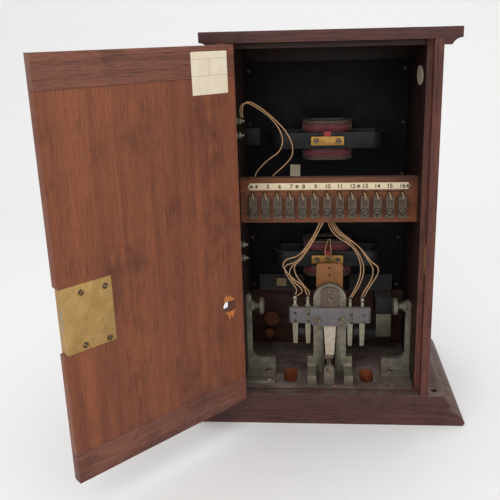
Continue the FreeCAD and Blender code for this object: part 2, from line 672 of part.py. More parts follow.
# Front.
def make_front():
    """Dial cards, glasses, bezels, and the bushes of handle and plunger."""
    card = new_body("dial_card")
    pad(card, "XZ", [("0", "0", "well_radius - fit_gap"), ("0", "0", "arbor_radius + 2*fit_gap")],
        BOARD_BACK, "card_thickness")
    glass = new_body("dial_glass")
    pad(glass, "XZ", [("0", "0", "well_radius - fit_gap")], f"{FRONT_BACK} - glass_thickness",
        "glass_thickness")
    bezel = new_body("bezel")
    inner, outer = "(window_radius - bezel_lip)", "(window_radius + bezel_width)"
    section = [(inner, "body_depth"), (outer, "body_depth"), (outer, "body_depth + 1.5"),
               (f"{outer} - 3.5", "body_depth + bezel_thickness", "3.5", 1),
               (f"{outer} - 6", "body_depth + bezel_thickness"),
               (inner, "body_depth + 1.2", "12", -1)]
    turned(bezel, "XY", section, "V_Axis")
    spots = [("0", "0", "upper_axis_z"), ("0", "0", LOWER_AXIS)]
    export(copies("dial_cards", card.Shape, spots), "dial_cards")
    export(copies("glasses", glass.Shape, spots), "glasses")
    export(copies("bezels", bezel.Shape, spots), "bezels")

    escutcheon = new_body("handle_plate")
    turned(escutcheon, "XY", [("shaft_radius + running_gap", "0"), ("escutcheon_radius", "0"),
                              ("escutcheon_radius", "1.6"), ("escutcheon_radius - 5", "bush_thickness/2"),
                              ("shaft_radius + 5", "bush_thickness/2"),
                              ("shaft_radius + 4", "bush_thickness"),
                              ("shaft_radius + running_gap", "bush_thickness")], "V_Axis")
    export(put(escutcheon, ("commutator_x", "body_depth", "shaft_z")), "handle_plate")
    bush = new_body("plunger_bush")
    turned(bush, "XY", [("plunger_radius + running_gap", "0"), ("bush_radius", "0"),
                        ("bush_radius", "1.4"), ("bush_radius - 3", "bush_thickness"),
                        ("plunger_radius + running_gap", "bush_thickness")], "V_Axis")
    export(put(bush, ("key_x", "body_depth", "plunger_z")), "plunger_bush")


# Indicator movements.
def both(name, piece):
    """Two copies of a piece modelled at z = 0, on the upper and lower axis."""
    return export(copies(name, piece.Shape, [("0", "0", "upper_axis_z"), ("0", "0", LOWER_AXIS)]), name)


def make_magnets():
    """Flattened ring magnets, each on two pillars."""
    body = new_body("ring_magnet")
    inner = "(magnet_half_length - magnet_wall)"
    pad(body, "XY", [stadium("magnet_half_length", "magnet_depth", MAGNET_Y),
                     stadium(inner, "(magnet_depth - 2*magnet_wall)", MAGNET_Y)],
        "-magnet_rise/2", "magnet_rise")
    pad(body, "XZ", [(f"{sign}pillar_x", "0", "pillar_radius") for sign in ("-", "")],
        "panel_y - pillar_length - magnet_wall/2", "pillar_length + magnet_wall/2")
    pocket(body, "XZ", [("0", "0", "arbor_radius + 2")], f"{MAGNET_Y} - magnet_depth/2 - 1",
           "magnet_depth + 2")
    both("magnets", body)


def make_bobbins():
    """Flat-sided coil formers, open down the middle for the magnet needle."""
    body = new_body("bobbin")
    inside = stadium("(core_half_length - core_wall)", "(core_depth - 2*core_wall)", MAGNET_Y)
    core = stadium("core_half_length", "core_depth", MAGNET_Y)
    flange = stadium("flange_half_length", "flange_depth", MAGNET_Y)
    cheek = stadium("(flange_half_length - 4)", "(core_depth + 4*wire_radius)", MAGNET_Y)
    pad(body, "XY", [core, inside], "-coil_half_height", "2*coil_half_height")
    pad(body, "XY", [flange, inside], "-coil_half_height", "flange_thickness")
    pad(body, "XY", [flange, inside], "coil_half_height - flange_thickness", "flange_thickness")
    pad(body, "XY", [cheek, inside], "-cheek_gap - 1.2", "1.2")
    pad(body, "XY", [cheek, inside], "cheek_gap", "1.2")
    pocket(body, "XZ", [("0", "0", "arbor_radius + 1")], f"{MAGNET_Y} - flange_depth/2",
           "flange_depth")
    both("bobbins", body)


def biarc(start, start_way, end, end_way):
    """Two arcs that join two points with given directions."""
    gap = end - start
    ways = start_way + end_way
    square = 2 * (1 - start_way.dot(end_way))
    reach = gap.dot(ways)
    if abs(square) < 1e-9:
        step = gap.dot(gap) / (4 * gap.dot(end_way))
    else:
        step = (-reach + math.sqrt(reach * reach + square * gap.dot(gap))) / square
    first, last = start + start_way * step, end - end_way * step
    joint = (first + last) * 0.5
    return [tangent_arc(start, start_way, joint), tangent_arc(joint, (last - first).normalize(), end)]


def tangent_arc(start, way, end):
    """Arc from start, leaving along way, to end."""
    chord = end - start
    side = way.cross(chord).cross(way)
    if side.Length < 1e-7:
        return Part.LineSegment(start, end).toShape()
    side.normalize()
    radius = chord.dot(chord) / (2 * chord.dot(side))
    centre = start + side * radius
    middle = (start + end) * 0.5 - centre
    bow = centre + middle.normalize() * radius
    return Part.Arc(start, bow, end).toShape()


def make_windings():
    """Covered wire, laid in one layer on each half of both bobbins."""
    turns = int((size("coil_half_height - flange_thickness - cheek_gap - 1.2 - 2*wire_radius"))
                // size("wire_pitch"))
    radius = size("core_depth/2 + wire_radius + running_gap")
    straight = size("core_half_length - core_depth/2")
    pitch, middle = size("wire_pitch"), size(MAGNET_Y)
    start_z = size("cheek_gap + 1.2 + wire_radius + fit_gap")
    length = 2 * math.pi * radius + 4 * straight
    slope = pitch / length

    def station(distance):
        """Point and direction on the layer, at a distance along one turn and its repeats."""
        lap, rest = divmod(distance, length)
        height = start_z + (lap + rest / length) * pitch
        half_turn = math.pi * radius
        side = 1.0
        if rest >= length / 2:
            rest -= length / 2
            side = -1.0
        if rest < 2 * straight:
            flat, way = Vector(-straight + rest, -radius, 0), Vector(1, 0, 0)
        else:
            angle = (rest - 2 * straight) / half_turn * math.pi - math.pi / 2
            flat = Vector(straight + radius * math.cos(angle), radius * math.sin(angle), 0)
            way = Vector(-math.sin(angle), math.cos(angle), 0)
        way = (way * side + Vector(0, 0, slope)).normalize()
        return Vector(side * flat.x, side * flat.y + middle, height), way

    quarter = math.pi * radius / 2
    marks = [0.0]
    for _ in range(turns):
        for step in (2 * straight, quarter, quarter, 2 * straight, quarter, quarter):
            marks.append(marks[-1] + step)
    edges = []
    for near, far in zip(marks, marks[1:]):
        edges += biarc(*station(near), *station(far))
    wire = Part.Wire(edges)
    point, way = station(0.0)
    ring = Part.Wire(Part.Circle(point, way, size("wire_radius")).toShape())
    tube = wire.makePipeShell([ring], True, False)
    samples = [station(marks[-1] * index / (60 * turns))[0] for index in range(60 * turns)]
    nearest = min(a.distanceToPoint(b) for i, a in enumerate(samples) for b in samples[i + 30:i + 90])
    gap = nearest - 2 * size("wire_radius")
    ideal = math.pi * size("wire_radius") ** 2 * wire.Length
    print(f"winding: {turns} turns, least gap {gap:.2f} mm, volume ratio {tube.Volume / ideal:.4f}")
    flip = Rotation(Vector(0, 1, 0), 180)
    spots = [("0", "0", "upper_axis_z"), ("0", "0", LOWER_AXIS)]
    export(copies("windings", tube, spots + spots, [Rotation()] * 2 + [flip] * 2), "windings")


def make_bearing_bars():
    """Brass bars across the magnets, with the rear bearings of the arbors."""
    body = new_body("bearing_bar")
    half = "bearing_width/2"
    rise = "bearing_height/2"
    pad(body, "XZ", [[(f"-{half} + 1.5", f"-{rise}", "1.5", 1), (f"{half} - 1.5", f"-{rise}"),
                      (half, f"-{rise} + 1.5", "1.5", 1), (half, f"{rise} - 1.5"),
                      (f"{half} - 1.5", rise, "1.5", 1), (f"-{half} + 1.5", rise),
                      (f"-{half}", f"{rise} - 1.5", "1.5", 1), (f"-{half}", f"-{rise} + 1.5")]],
        f"{BAR_Y} - bearing_thickness", "bearing_thickness")
    pad(body, "XZ", [("0", "0", "2.9")], f"{BAR_Y} - bearing_thickness - 1.6", "bearing_thickness")
    pocket(body, "XZ", [("0", "0", "arbor_radius + running_gap")], f"{BAR_Y} - bearing_thickness - 0.6",
           "bearing_thickness + 1")
    both("bearing_bars", body)


def make_needle(name, axis):
    """Arbor with its magnet needle, and the pointer on its front end."""
    rear = f"({BAR_Y} - bearing_thickness - 0.4)"
    arbor = rod(f"{name}_arbor_rod", ("0", rear, axis), "y", "arbor_radius",
                f"{BOARD_BACK} + 7 - {rear}")
    needle = block(f"{name}_magnet", ("-2.5", f"{MAGNET_Y} - 1.5", f"{axis} - 18.5"), ("5", "3", "34"))
    export(fuse(f"{name}_arbor", arbor, needle), f"{name}_arbor")
    pointer = new_body(f"{name}_pointer")
    outline = [("-1.2", "-pointer_tail"), ("1.2", "-pointer_tail"), ("2.4", "0"),
               ("0.35", "pointer_length"), ("-0.35", "pointer_length"), ("-2.4", "0")]
    pad(pointer, "XZ", [outline], f"{BOARD_BACK} + 4", "1")
    pad(pointer, "XZ", [("0", "0", "3.6")], f"{BOARD_BACK} + 3.4", "2.6")
    pad(pointer, "XZ", [("0", "-pointer_tail + 2", "5")], f"{BOARD_BACK} + 4", "1")
    pocket(pointer, "XZ", [("0", "0", "arbor_radius")], f"{BOARD_BACK} + 3", "4")
    export(put(pointer, ("0", "0", axis)), f"{name}_pointer")


# Terminal board.
def terminal_x(index):
    """Expression for the place of a terminal, from the left."""
    return f"terminal_shift + ({index} - (terminal_count - 1)/2)*terminal_pitch"


def make_terminals():
    """Board across the case with its number strip, screws and terminal blocks."""
    count = int(size("terminal_count"))
    board = new_body("terminal_board")
    low = "(board_top - board_height)"
    holes = [(f"{terminal_x(i)} - 1.2", "tail_hole_z", "tail_hole_radius") for i in range(count)]
    pad(board, "XZ", [rectangle(f"-{INNER}", low, INNER, "board_top")] + holes, "board_y",
        "board_thickness")
    export(board, "terminal_board")

    strip = new_body("number_strip")
    high = "(strip_low + strip_height)"
    pad(strip, "XZ", [[("-strip_half_length + 2.6", "strip_low"), ("strip_half_length - 2.6", "strip_low"),
                       ("strip_half_length", f"strip_low + strip_height/2"),
                       ("strip_half_length - 2.6", high), ("-strip_half_length + 2.6", high),
                       ("-strip_half_length", "strip_low + strip_height/2")]],
        "board_y - strip_thickness", "strip_thickness")
    export(strip, "number_strip")
    pin = slotted_screw("strip_screw", "1.9", "0.7", "0.8", "-0.1")
    places = ["-strip_half_length + 4.3", "-strip_half_length*0.382", "strip_half_length*0.374",
              "strip_half_length - 2.8"]
    export(copies("strip_screws", pin.Shape,
                  [(x, "board_y - strip_thickness", "strip_low + strip_height/2") for x in places],
                  spins([15, 80, 40, 120])), "strip_screws")

    terminal = new_body("terminal_block_blank")
    half = "(terminal_width/2)"
    pad(terminal, "XZ", [[(f"-{half}", "0"), (half, "0"), (half, "terminal_height - 2"),
                          (f"{half} - 2", "terminal_height", "2", 1),
                          (f"-{half} + 2", "terminal_height"),
                          (f"-{half}", "terminal_height - 2", "2", 1)]],
        "-terminal_depth", "terminal_depth")
    pocket(terminal, "XY", [rectangle("-2.4", "-terminal_depth - 1", "2.4", "-terminal_depth + 1.6")],
           "terminal_height - 11", "12")
    pocket(terminal, "XZ", [("0", "3.2", "1.1")], "-terminal_depth - 1", "2.4")
    spots = [(terminal_x(i), "board_y", "terminal_low") for i in range(count)]
    export(copies("terminal_blocks", terminal.Shape, spots), "terminal_blocks")

    big = slotted_screw("clamp_screw", "terminal_width/2 - 1", "1.3", "1.6", "-0.1")
    small = slotted_screw("wire_screw", "2.1", "0.9", "1.2", "-0.1")
    angles = [-45, 45, -50, -45, 50, -70, -8, -15, -45, 40, 2, -30, 40]
    angles = [angles[i % len(angles)] for i in range(count)]
    large = copies("clamp_screws", big.Shape,
                   [(terminal_x(i), "board_y - terminal_depth", "terminal_low + 8.2") for i in range(count)],
                   spins(angles))
    little = copies("wire_screws", small.Shape,
                    [(terminal_x(i), "board_y - terminal_depth + 1.6", "terminal_low + 19.5")
                     for i in range(count)], spins([a + 60 for a in angles]))
    export(group("terminal_screws", large, little), "terminal_screws")


# Covered wires.
def lead(points, radius):
    """Tube through hand-set points: straight runs joined by tangent arcs; returns its radii too."""
    edges = []
    bends = []
    here = points[0]
    for index in range(1, len(points) - 1):
        before, corner, after = points[index - 1], points[index], points[index + 1]
        into, out = (corner - before), (after - corner)
        shorter = min(into.Length, out.Length)
        into.normalize()
        out.normalize()
        half = into.getAngle(out) / 2
        bend = 0.45 * shorter / math.tan(half)
        setback = bend * math.tan(half)
        first, last = corner - into * setback, corner + out * setback
        inward = (out - into).normalize()
        centre = corner + inward * (bend / math.cos(half))
        bow = centre - inward * bend
        edges.append(Part.LineSegment(here, first).toShape())
        edges.append(Part.Arc(first, bow, last).toShape())
        bends.append(bend)
        here = last
    edges.append(Part.LineSegment(here, points[-1]).toShape())
    path = Part.Wire(edges)
    way = (points[1] - points[0]).normalize()
    ring = Part.Wire(Part.Circle(points[0], way, radius).toShape())
    tube = path.makePipeShell([ring], True, False)
    ideal = math.pi * radius * radius * path.Length
    if abs(tube.Volume / ideal - 1) > 0.02:
        raise RuntimeError("a wire's volume is wrong")
    return tube, bends, path.Length


def leads(name, routes):
    """Node of several wires, each along its own route."""
    radius = size("lead_radius")
    tubes = []
    for label, route in routes:
        tube, bends, length = lead([at(*point) for point in route], radius)
        print(f"{name} {label}: length {length:.0f}, radii {', '.join(f'{b:.0f}' for b in bends)}")
        tubes.append(tube)
    made = doc.addObject("Part::Feature", name)
    made.Shape = Part.makeCompound(tubes)
    export(made, name)


def make_leads():
    """Leads of the upper case, the bundles that come down to the contact springs, and the coil leads."""
    back = "board_y + board_thickness + lead_radius + 0.3"
    leads("upper_leads", [
        ("terminal 4", [(-96, 26.5, 366), (-98.5, 28, 376), (-91, 31, 382.5), (-78.5, 35.5, 375),
                        (-64, 39, 363.5), (-54.5, 42.5, 350), (-50.5, 45.5, 336), (-55.5, 48.6, 322.5),
                        (-67, back, 315), (-77, back, 306), (-85.5, back, 296), (-86.5, back, 281)]),
        ("terminal 5", [(-93.8, 23.5, 366), (-95.5, 24.5, 377), (-88.5, 28.5, 384), (-75, 33, 376),
                        (-60.5, 37, 362.5), (-48.5, 41, 349.5), (-40.5, 44.5, 334), (-40, 48.3, 319),
                        (-48, back, 308.5), (-58.5, back, 299.5), (-67.5, back, 291), (-71.5, back, 279)])])
    top = "board_top - board_height + 6"
    near = "frame_y + spring_thickness + lead_radius + 0.3"
    left, right = "spring_high + 1.5", "spring_high - spring_drop + 1.5"
    leads("lower_leads", [
        ("left 1", [(-8.2, back, top), (-10, 50.8, 238), (-14.5, 43.5, 228.5), (-19, 40, 221.5), (-29, 38.2, 206),
                    (-37.5, 38.2, 198.8), (-49.5, 38.2, 196.3), (-54.5, 38.2, 189), (-51, 38.4, 182),
                    (-42, 38.8, 170.5), (-33, 40, 164.5), (-27, 42.3, 156.5),
                    ("commutator_x - spring_inner_left - 0.9", near, left)]),
        ("left 2", [(-6.5, back, top), (-8.6, 51.2, 237), (-15.5, 47.6, 225.5), (-21, 45, 216.5), (-32, 41.6, 197.5),
                    (-40, 41.6, 190.5), (-50.5, 41.6, 187.5), (-52.5, 41.6, 181), (-47, 41.6, 170.5),
                    (-41, 41.8, 161.5), (-36.5, 42.6, 154), ("commutator_x - spring_outer_left - 0.9", near, left)]),
        ("left 3", [(-4.8, back, top), (-6.6, 50.8, 237.6), (-12.4, 43, 226.5), (-21.5, 38.6, 211.5), (-32.8, 36.5, 195.5),
                    (-40, 36.5, 189), (-40.2, 36.5, 182), (-36, 36.5, 172), (-27, 37.5, 160.5),
                    (-21.6, 41.2, 152.8), ("commutator_x - spring_inner_left + 0.9", near, left)]),
        ("left 4", [(-3.1, back, top), (-5, 51.4, 236.4), (-14.6, 45.4, 224.6), (-24, 41, 209.5), (-31, 39.9, 196.5),
                    (-42, 39.9, 189), (-47, 40.3, 178.5), (-43, 40.4, 167.5), (-33.5, 39.9, 160.5),
                    (-29.5, 41, 152.5), ("commutator_x - spring_outer_left + 0.9", near, left)]),
        ("right 1", [(-1.2, back, top), (-0.6, 50.8, 238.2), (3.6, 44.2, 229.5), (12, 40.2, 221.5), (22, 38.2, 216.5),
                     (31, 38.2, 208), (36.5, 38.2, 196.5), (38.8, 38.2, 182), (36, 39, 168),
                     (30.5, 41.2, 154), ("commutator_x + spring_inner_right - 0.9", near, right)]),
        ("right 2", [(0.6, back, top), (1.6, 51.2, 237.6), (8, 46.4, 227.5), (17.5, 42.8, 221), (28.5, 41.6, 213.3),
                     (37, 41.6, 200.5), (42.3, 41.6, 186), (41.5, 41.6, 174.5), (37, 42, 161),
                     (31.5, 43.6, 150.5), ("commutator_x + spring_inner_right + 0.9", near, right)]),
        ("right 3", [(2.5, back, top), (3.6, 50.8, 238.2), (10, 43.6, 229), (20.5, 38.6, 222), (32, 36.5, 215.5),
                     (41.8, 36.5, 205), (49.5, 36.5, 193.5), (58.5, 36.5, 187.5), (58.8, 36.5, 178.5),
                     (52, 37.8, 166.5), (45.3, 42, 153), ("commutator_x + spring_outer_right + 0.9", near, right)]),
        ("right 4", [(4.4, back, top), (6, 51.2, 237.4), (14, 46.6, 227), (25.5, 42.2, 219), (37.5, 39.9, 209.5),
                     (46, 39.9, 195), (53, 39.9, 185), (52.5, 39.9, 173), (46.5, 40.3, 160.5),
                     (41, 42.6, 151), ("commutator_x + spring_outer_right - 0.9", near, right)]),
        ("coil left", [(-2.6, 84, 181.6), (-3.4, 83.2, 190.5), (-1.2, 84.6, 199), (1.6, 88.5, 204.5)]),
        ("coil right", [(4.1, 84, 181.6), (4.6, 83.2, 191), (3.6, 84.8, 199.3), (3.6, 88.5, 204.5)])])


def make_terminal_tails():
    """Short wires from the board's holes into the terminals."""
    radius = size("lead_radius")
    hole_x, slot_z = -1.2, size("terminal_low + terminal_height - 3")
    out, face = size("board_y - terminal_depth - 0.6"), size("board_y")
    points = [Vector(hole_x, face + 6, size("tail_hole_z")),
              Vector(hole_x, face - 2.5, size("tail_hole_z")),
              Vector(0.2, out + 1.2, size("tail_hole_z") - 1.8),
              Vector(1.1, out + 1.45, slot_z - 1.3)]
    tube, bends, _ = lead(points, radius)
    print("terminal tails: radii", ", ".join(f"{b:.1f}" for b in bends))
    spots = [(terminal_x(i), "0", "0") for i in range(int(size("terminal_count")))]
    export(copies("terminal_tails", tube, spots), "terminal_tails")


# Commutator.
def make_commutator_frame():
    """Arch with its tapered slot and two foot lugs."""
    body = new_body("commutator_frame")
    wide = "frame_half_width"
    shoulder = "(frame_top - frame_half_width)"
    outer = [(f"-{wide}", FLOOR), (f"-slot_half_foot", FLOOR), ("-slot_half_top", "slot_crown"),
             ("0", "slot_crown + slot_half_top", "slot_half_top", -1),
             ("slot_half_top", "slot_crown", "slot_half_top", -1), ("slot_half_foot", FLOOR),
             (wide, FLOOR), (wide, shoulder), ("0", "frame_top", wide, 1), (f"-{wide}", shoulder, wide, 1)]
    pad(body, "XZ", [outer], "frame_y", "frame_thickness")
    lug = [("lug_rear", FLOOR), ("frame_y + frame_thickness", FLOOR),
           ("frame_y + frame_thickness", f"{FLOOR} + 2*lug_rise"), ("frame_y", f"{FLOOR} + 2*lug_rise"),
           ("frame_y", f"{FLOOR} + lug_rise + lug_fillet"),
           ("frame_y - lug_fillet", f"{FLOOR} + lug_rise", "lug_fillet", -1),
           ("lug_rear", f"{FLOOR} + lug_rise")]
    pad(body, "YZ", [lug], f"-{wide} + lug_overlap - lug_width", "lug_width")
    pad(body, "YZ", [lug], f"{wide} - lug_overlap", "lug_width")
    export(put(body, ("commutator_x", "0", "0")), "commutator_frame")

    lug_body = new_body("centre_lug")
    half = "(centre_lug_width/2)"
    pad(lug_body, "XZ", [[(f"-{half}", FLOOR), (half, FLOOR), (half, f"centre_lug_top - {half}"),
                          ("0", "centre_lug_top", half, 1),
                          (f"-{half}", f"centre_lug_top - {half}", half, 1)]],
        "lug_rear - 1", "centre_lug_depth")
    export(put(lug_body, ("centre_lug_x", "0", "0")), "centre_lug")


def make_frame_fittings():
    """Fibre block, barrier plate, insulating bar and contact springs on the arch."""
    fibre = new_body("fibre_block")
    wide = "fibre_half_width"
    crown = "(frame_top - 3)"
    pad(fibre, "XZ", [[(f"-{wide} + 1", "fibre_low"), (f"{wide} - 1", "fibre_low"), (wide, f"{crown} - 4"),
                       ("0", crown, "14", 1), (f"-{wide}", f"{crown} - 4", "14", 1)]],
        "frame_y - fibre_thickness", "fibre_thickness")
    export(put(fibre, ("commutator_x", "0", "0")), "fibre_block")

    barrier = new_body("barrier_plate")
    side = "barrier_half_width"
    pad(barrier, "XZ", [[(f"-{side}", "barrier_low"), (side, "barrier_low"), (side, "barrier_top - 4"),
                         (f"{side} - 4", "barrier_top", "4", 1), (f"-{side} + 4", "barrier_top"),
                         (f"-{side}", "barrier_top - 4", "4", 1)],
                        ("0", "barrier_top - 5.5", "1.5"), ("0", "barrier_top - 15", "1.5")],
        "frame_y + frame_thickness", "barrier_thickness")
    export(put(barrier, ("commutator_x", "0", "0")), "barrier_plate")

    bar = new_body("insulating_bar")
    rear = "(frame_y - bar_thickness)"
    pad(bar, "YZ", [[(rear, "bar_low"), ("frame_y", "bar_low"), ("frame_y", "bar_high"),
                     (f"{rear} + bar_chamfer", "bar_high"), (rear, "bar_high - bar_chamfer")]],
        "-bar_half_length", "2*bar_half_length")
    pad(bar, "XZ", [[("-bar_middle + 2", "bar_low - bar_drop"), ("bar_middle - 2", "bar_low - bar_drop"),
                     ("bar_middle", "bar_low"), ("bar_middle", "bar_low + 2"),
                     ("-bar_middle", "bar_low + 2"), ("-bar_middle", "bar_low")]],
        rear, "bar_thickness")
    for end in ("-bar_half_length - 1", "bar_half_length - 1"):
        corner = "-bar_half_length" if end.startswith("-") else "bar_half_length"
        inward = "+" if end.startswith("-") else "-"
        outward = "-" if inward == "+" else "+"
        pocket(bar, "XY", [[(f"{corner} {outward} 1", f"{rear} - 1"),
                            (f"{corner} {inward} 2.4", f"{rear} - 1"),
                            (f"{corner} {inward} 2.4", rear), (corner, f"{rear} + 2.4"),
                            (f"{corner} {outward} 1", f"{rear} + 2.4")]], "bar_low - 1",
               "bar_high - bar_low + 2")
    export(put(bar, ("commutator_x", "0", "0")), "insulating_bar")

    spring = new_body("contact_spring")
    top, tip = "(spring_width/2)", "(spring_tip_width/2)"
    pad(spring, "XZ", [[(f"-{tip}", "spring_low + 1.5"), (f"-{tip} + 1.5", "spring_low", "1.5", 1),
                        (f"{tip} - 1.5", "spring_low"), (tip, "spring_low + 1.5", "1.5", 1),
                        (top, "bar_low"), (top, "bar_high + 1"), ("1.6", "bar_high + 3"),
                        ("1.6", "spring_high"), ("-1.6", "spring_high"), ("-1.6", "bar_high + 3"),
                        (f"-{top}", "bar_high + 1"), (f"-{top}", "bar_low")],
                       ("0", "spring_high - 2", "0.8")], "frame_y", "spring_thickness")
    spots = [("commutator_x - spring_outer_left", "0", "0"), ("commutator_x - spring_inner_left", "0", "0"),
             ("commutator_x + spring_inner_right", "0", "-spring_drop"),
             ("commutator_x + spring_outer_right", "0", "-spring_drop")]
    export(copies("contact_springs", spring.Shape, spots), "contact_springs")


def make_friction_leaf():
    """Tapered leaf that leans on the shaft's end, held by a pin at its foot."""
    drop = "(leaf_top - leaf_foot_z)"
    lean = "(frame_y - leaf_thickness - fit_gap - leaf_foot_y)"
    body = new_body("friction_leaf")
    pad(body, "YZ", [[("leaf_foot_y", "leaf_foot_z + pin_radius - 0.3"),
                      ("leaf_foot_y + leaf_thickness", "leaf_foot_z + pin_radius - 0.3"),
                      ("frame_y - fit_gap - 3.2", "shaft_z + 4"),
                      (f"frame_y - fit_gap - 3.2", "bar_low - bar_drop - fit_gap"),
                      (f"frame_y - fit_gap - 3.2 - leaf_thickness", "bar_low - bar_drop - fit_gap"),
                      (f"frame_y - fit_gap - 3.2 - leaf_thickness", "shaft_z + 4")]],
        "-leaf_top_width/2", "leaf_top_width")
    for sign in ("-", ""):
        foot, head = f"{sign}(leaf_foot_width/2)", f"{sign}(leaf_top_width/2)"
        pocket(body, "XZ", [[(foot, "leaf_foot_z - 1"), (foot, "leaf_foot_z + pin_radius - 0.3"),
                             (head, "bar_low"), (f"{sign}(leaf_top_width/2 + 2)", "bar_low"),
                             (f"{sign}(leaf_top_width/2 + 2)", "leaf_foot_z - 1")]],
               "leaf_foot_y - 2", "frame_y - leaf_foot_y + 2")
    export(put(body, ("commutator_x", "0", "0")), "friction_leaf")
    pin = rod("leaf_roll", ("centre_lug_x - leaf_foot_width/2", "leaf_foot_y + leaf_thickness/2",
                            "leaf_foot_z"), "x", "pin_radius - 0.3", "leaf_foot_width")
    stem = block("leaf_stem", ("centre_lug_x - 2.5", "lug_rear - 1 + centre_lug_depth", "centre_lug_top - 9"),
                 ("5", "leaf_foot_y + leaf_thickness - lug_rear + 1 - centre_lug_depth", "3.4"))
    post = block("leaf_post", ("centre_lug_x - 2.5", "leaf_foot_y - 0.6", "centre_lug_top - 9"),
                 ("5", "2", "leaf_foot_z - centre_lug_top + 9"))
    export(fuse("leaf_pin", pin, stem, post), "leaf_pin")


def make_shaft():
    """Commutator shaft, its cross arm with contact blocks, and the front handle."""
    end = "(frame_y - 2.9)"
    tip = "(body_depth + bush_thickness + 9)"
    shaft = rod("commutator_shaft", ("commutator_x", end, "shaft_z"), "y", "shaft_radius",
                f"{tip} - {end}")
    export(shaft, "commutator_shaft")

    arm = new_body("cross_arm")
    rear = "(frame_y + frame_thickness + barrier_thickness)"
    rise = "(arm_rise/2)"
    inner = "(arm_reach - arm_block)"
    pad(arm, "XZ", [[("-arm_reach", f"-{rise} + 1.5"), (f"-{inner}", f"-{rise} + 0.5"), ("-8", f"-{rise} - 2"),
                     ("8", f"-{rise} - 2"), (inner, f"-{rise} + 0.5"), ("arm_reach", f"-{rise} + 1.5"),
                     ("arm_reach", f"{rise} - 1.5"), (inner, f"{rise} - 0.5"), ("8", f"{rise} + 2"),
                     ("-8", f"{rise} + 2"), (f"-{inner}", f"{rise} - 0.5"), ("-arm_reach", f"{rise} - 1.5")],
                    ("0", "0", "shaft_radius")], rear, "arm_thickness")
    contact = "(frame_y + spring_thickness + 2*fit_gap)"
    for sign in ("-", ""):
        pad(arm, "XZ", [rectangle(f"{sign}(arm_reach)", f"-{rise} + 1.5", f"{sign}{inner}", f"{rise} - 1.5")],
            contact, f"{rear} - {contact} + 1")
    export(put(arm, ("commutator_x", "0", "shaft_z")), "cross_arm")

    handle = new_body("handle")
    start = "(body_depth + bush_thickness + fit_gap)"
    turned(handle, "XY", [("shaft_radius", start), ("9", start), ("9.5", f"{start} + 2"), ("8", f"{tip} + 1"),
                          ("5", f"{tip} + 2.5"), ("0", f"{tip} + 3"), ("0", tip), ("shaft_radius", tip)],
           "V_Axis")
    pad(handle, "XZ", [[("-4.6", "-5"), ("-2.8", "-handle_length + 8"), ("2.8", "-handle_length + 8"),
                        ("4.6", "-5")]], f"{start} + 2", "6")
    pad(handle, "XZ", [("0", "-handle_length + 6", "6")], f"{start} + 0.6", "9")
    export(put(handle, ("commutator_x", "0", "shaft_z")), "handle")


def make_frame_screws():
    """Slotted screws of the arch, bar, bearing bars, middle lug and brackets."""
    cheese = slotted_screw("cheese_screw", "4.6", "1.8", "2", "-0.1")
    middle = slotted_screw("middle_screw", "3.4", "1.4", "2", "-0.1")
    small = slotted_screw("small_screw", "2.7", "1.0", "1.5", "-0.1")
    big = slotted_screw("bracket_screw", "4.2", "2.6", "2.2", "-0.1")
    rear = "frame_y - bar_thickness"
    bars = copies("bar_screws", cheese.Shape,
                  [("commutator_x - bar_screw_x", rear, "bar_screw_z"),
                   ("commutator_x + bar_screw_x", rear, "bar_screw_z")], spins([62, -28]))
    face = "frame_y - fibre_thickness"
    fibre = copies("fibre_screws", middle.Shape,
                   [("commutator_x", face, "frame_top - 7"), ("commutator_x", face, "fibre_low + 8.7")],
                   spins([0, 55]))
    lug = copies("lug_screw", middle.Shape, [("centre_lug_x", "lug_rear - 1", "centre_lug_top - 9.6")],
                 spins([-50]))
    brass = f"{BAR_Y} - bearing_thickness"
    bearing = copies("bearing_screws", small.Shape,
                     [(f"{sign}bearing_screw_x", brass, axis) for axis in ("upper_axis_z", LOWER_AXIS)
                      for sign in ("-", "")], spins([5, 65, 20, 130]))
    down = Rotation(Vector(1, 0, 0), -90)
    top = f"{FLOOR} + bracket_foot_rise"
    feet = copies("foot_screws", big.Shape,
                  [(f"-({INNER} - fit_gap - 28)", "left_foot_rear + 6", top),
                   (f"-({INNER} - fit_gap - 26)", "bracket_y - 6", top),
                   (f"{INNER} - fit_gap - 25", "bracket_y - 5", top)], [down] * 3)
    export(group("frame_screws", bars, fibre, lug, bearing, feet), "frame_screws")


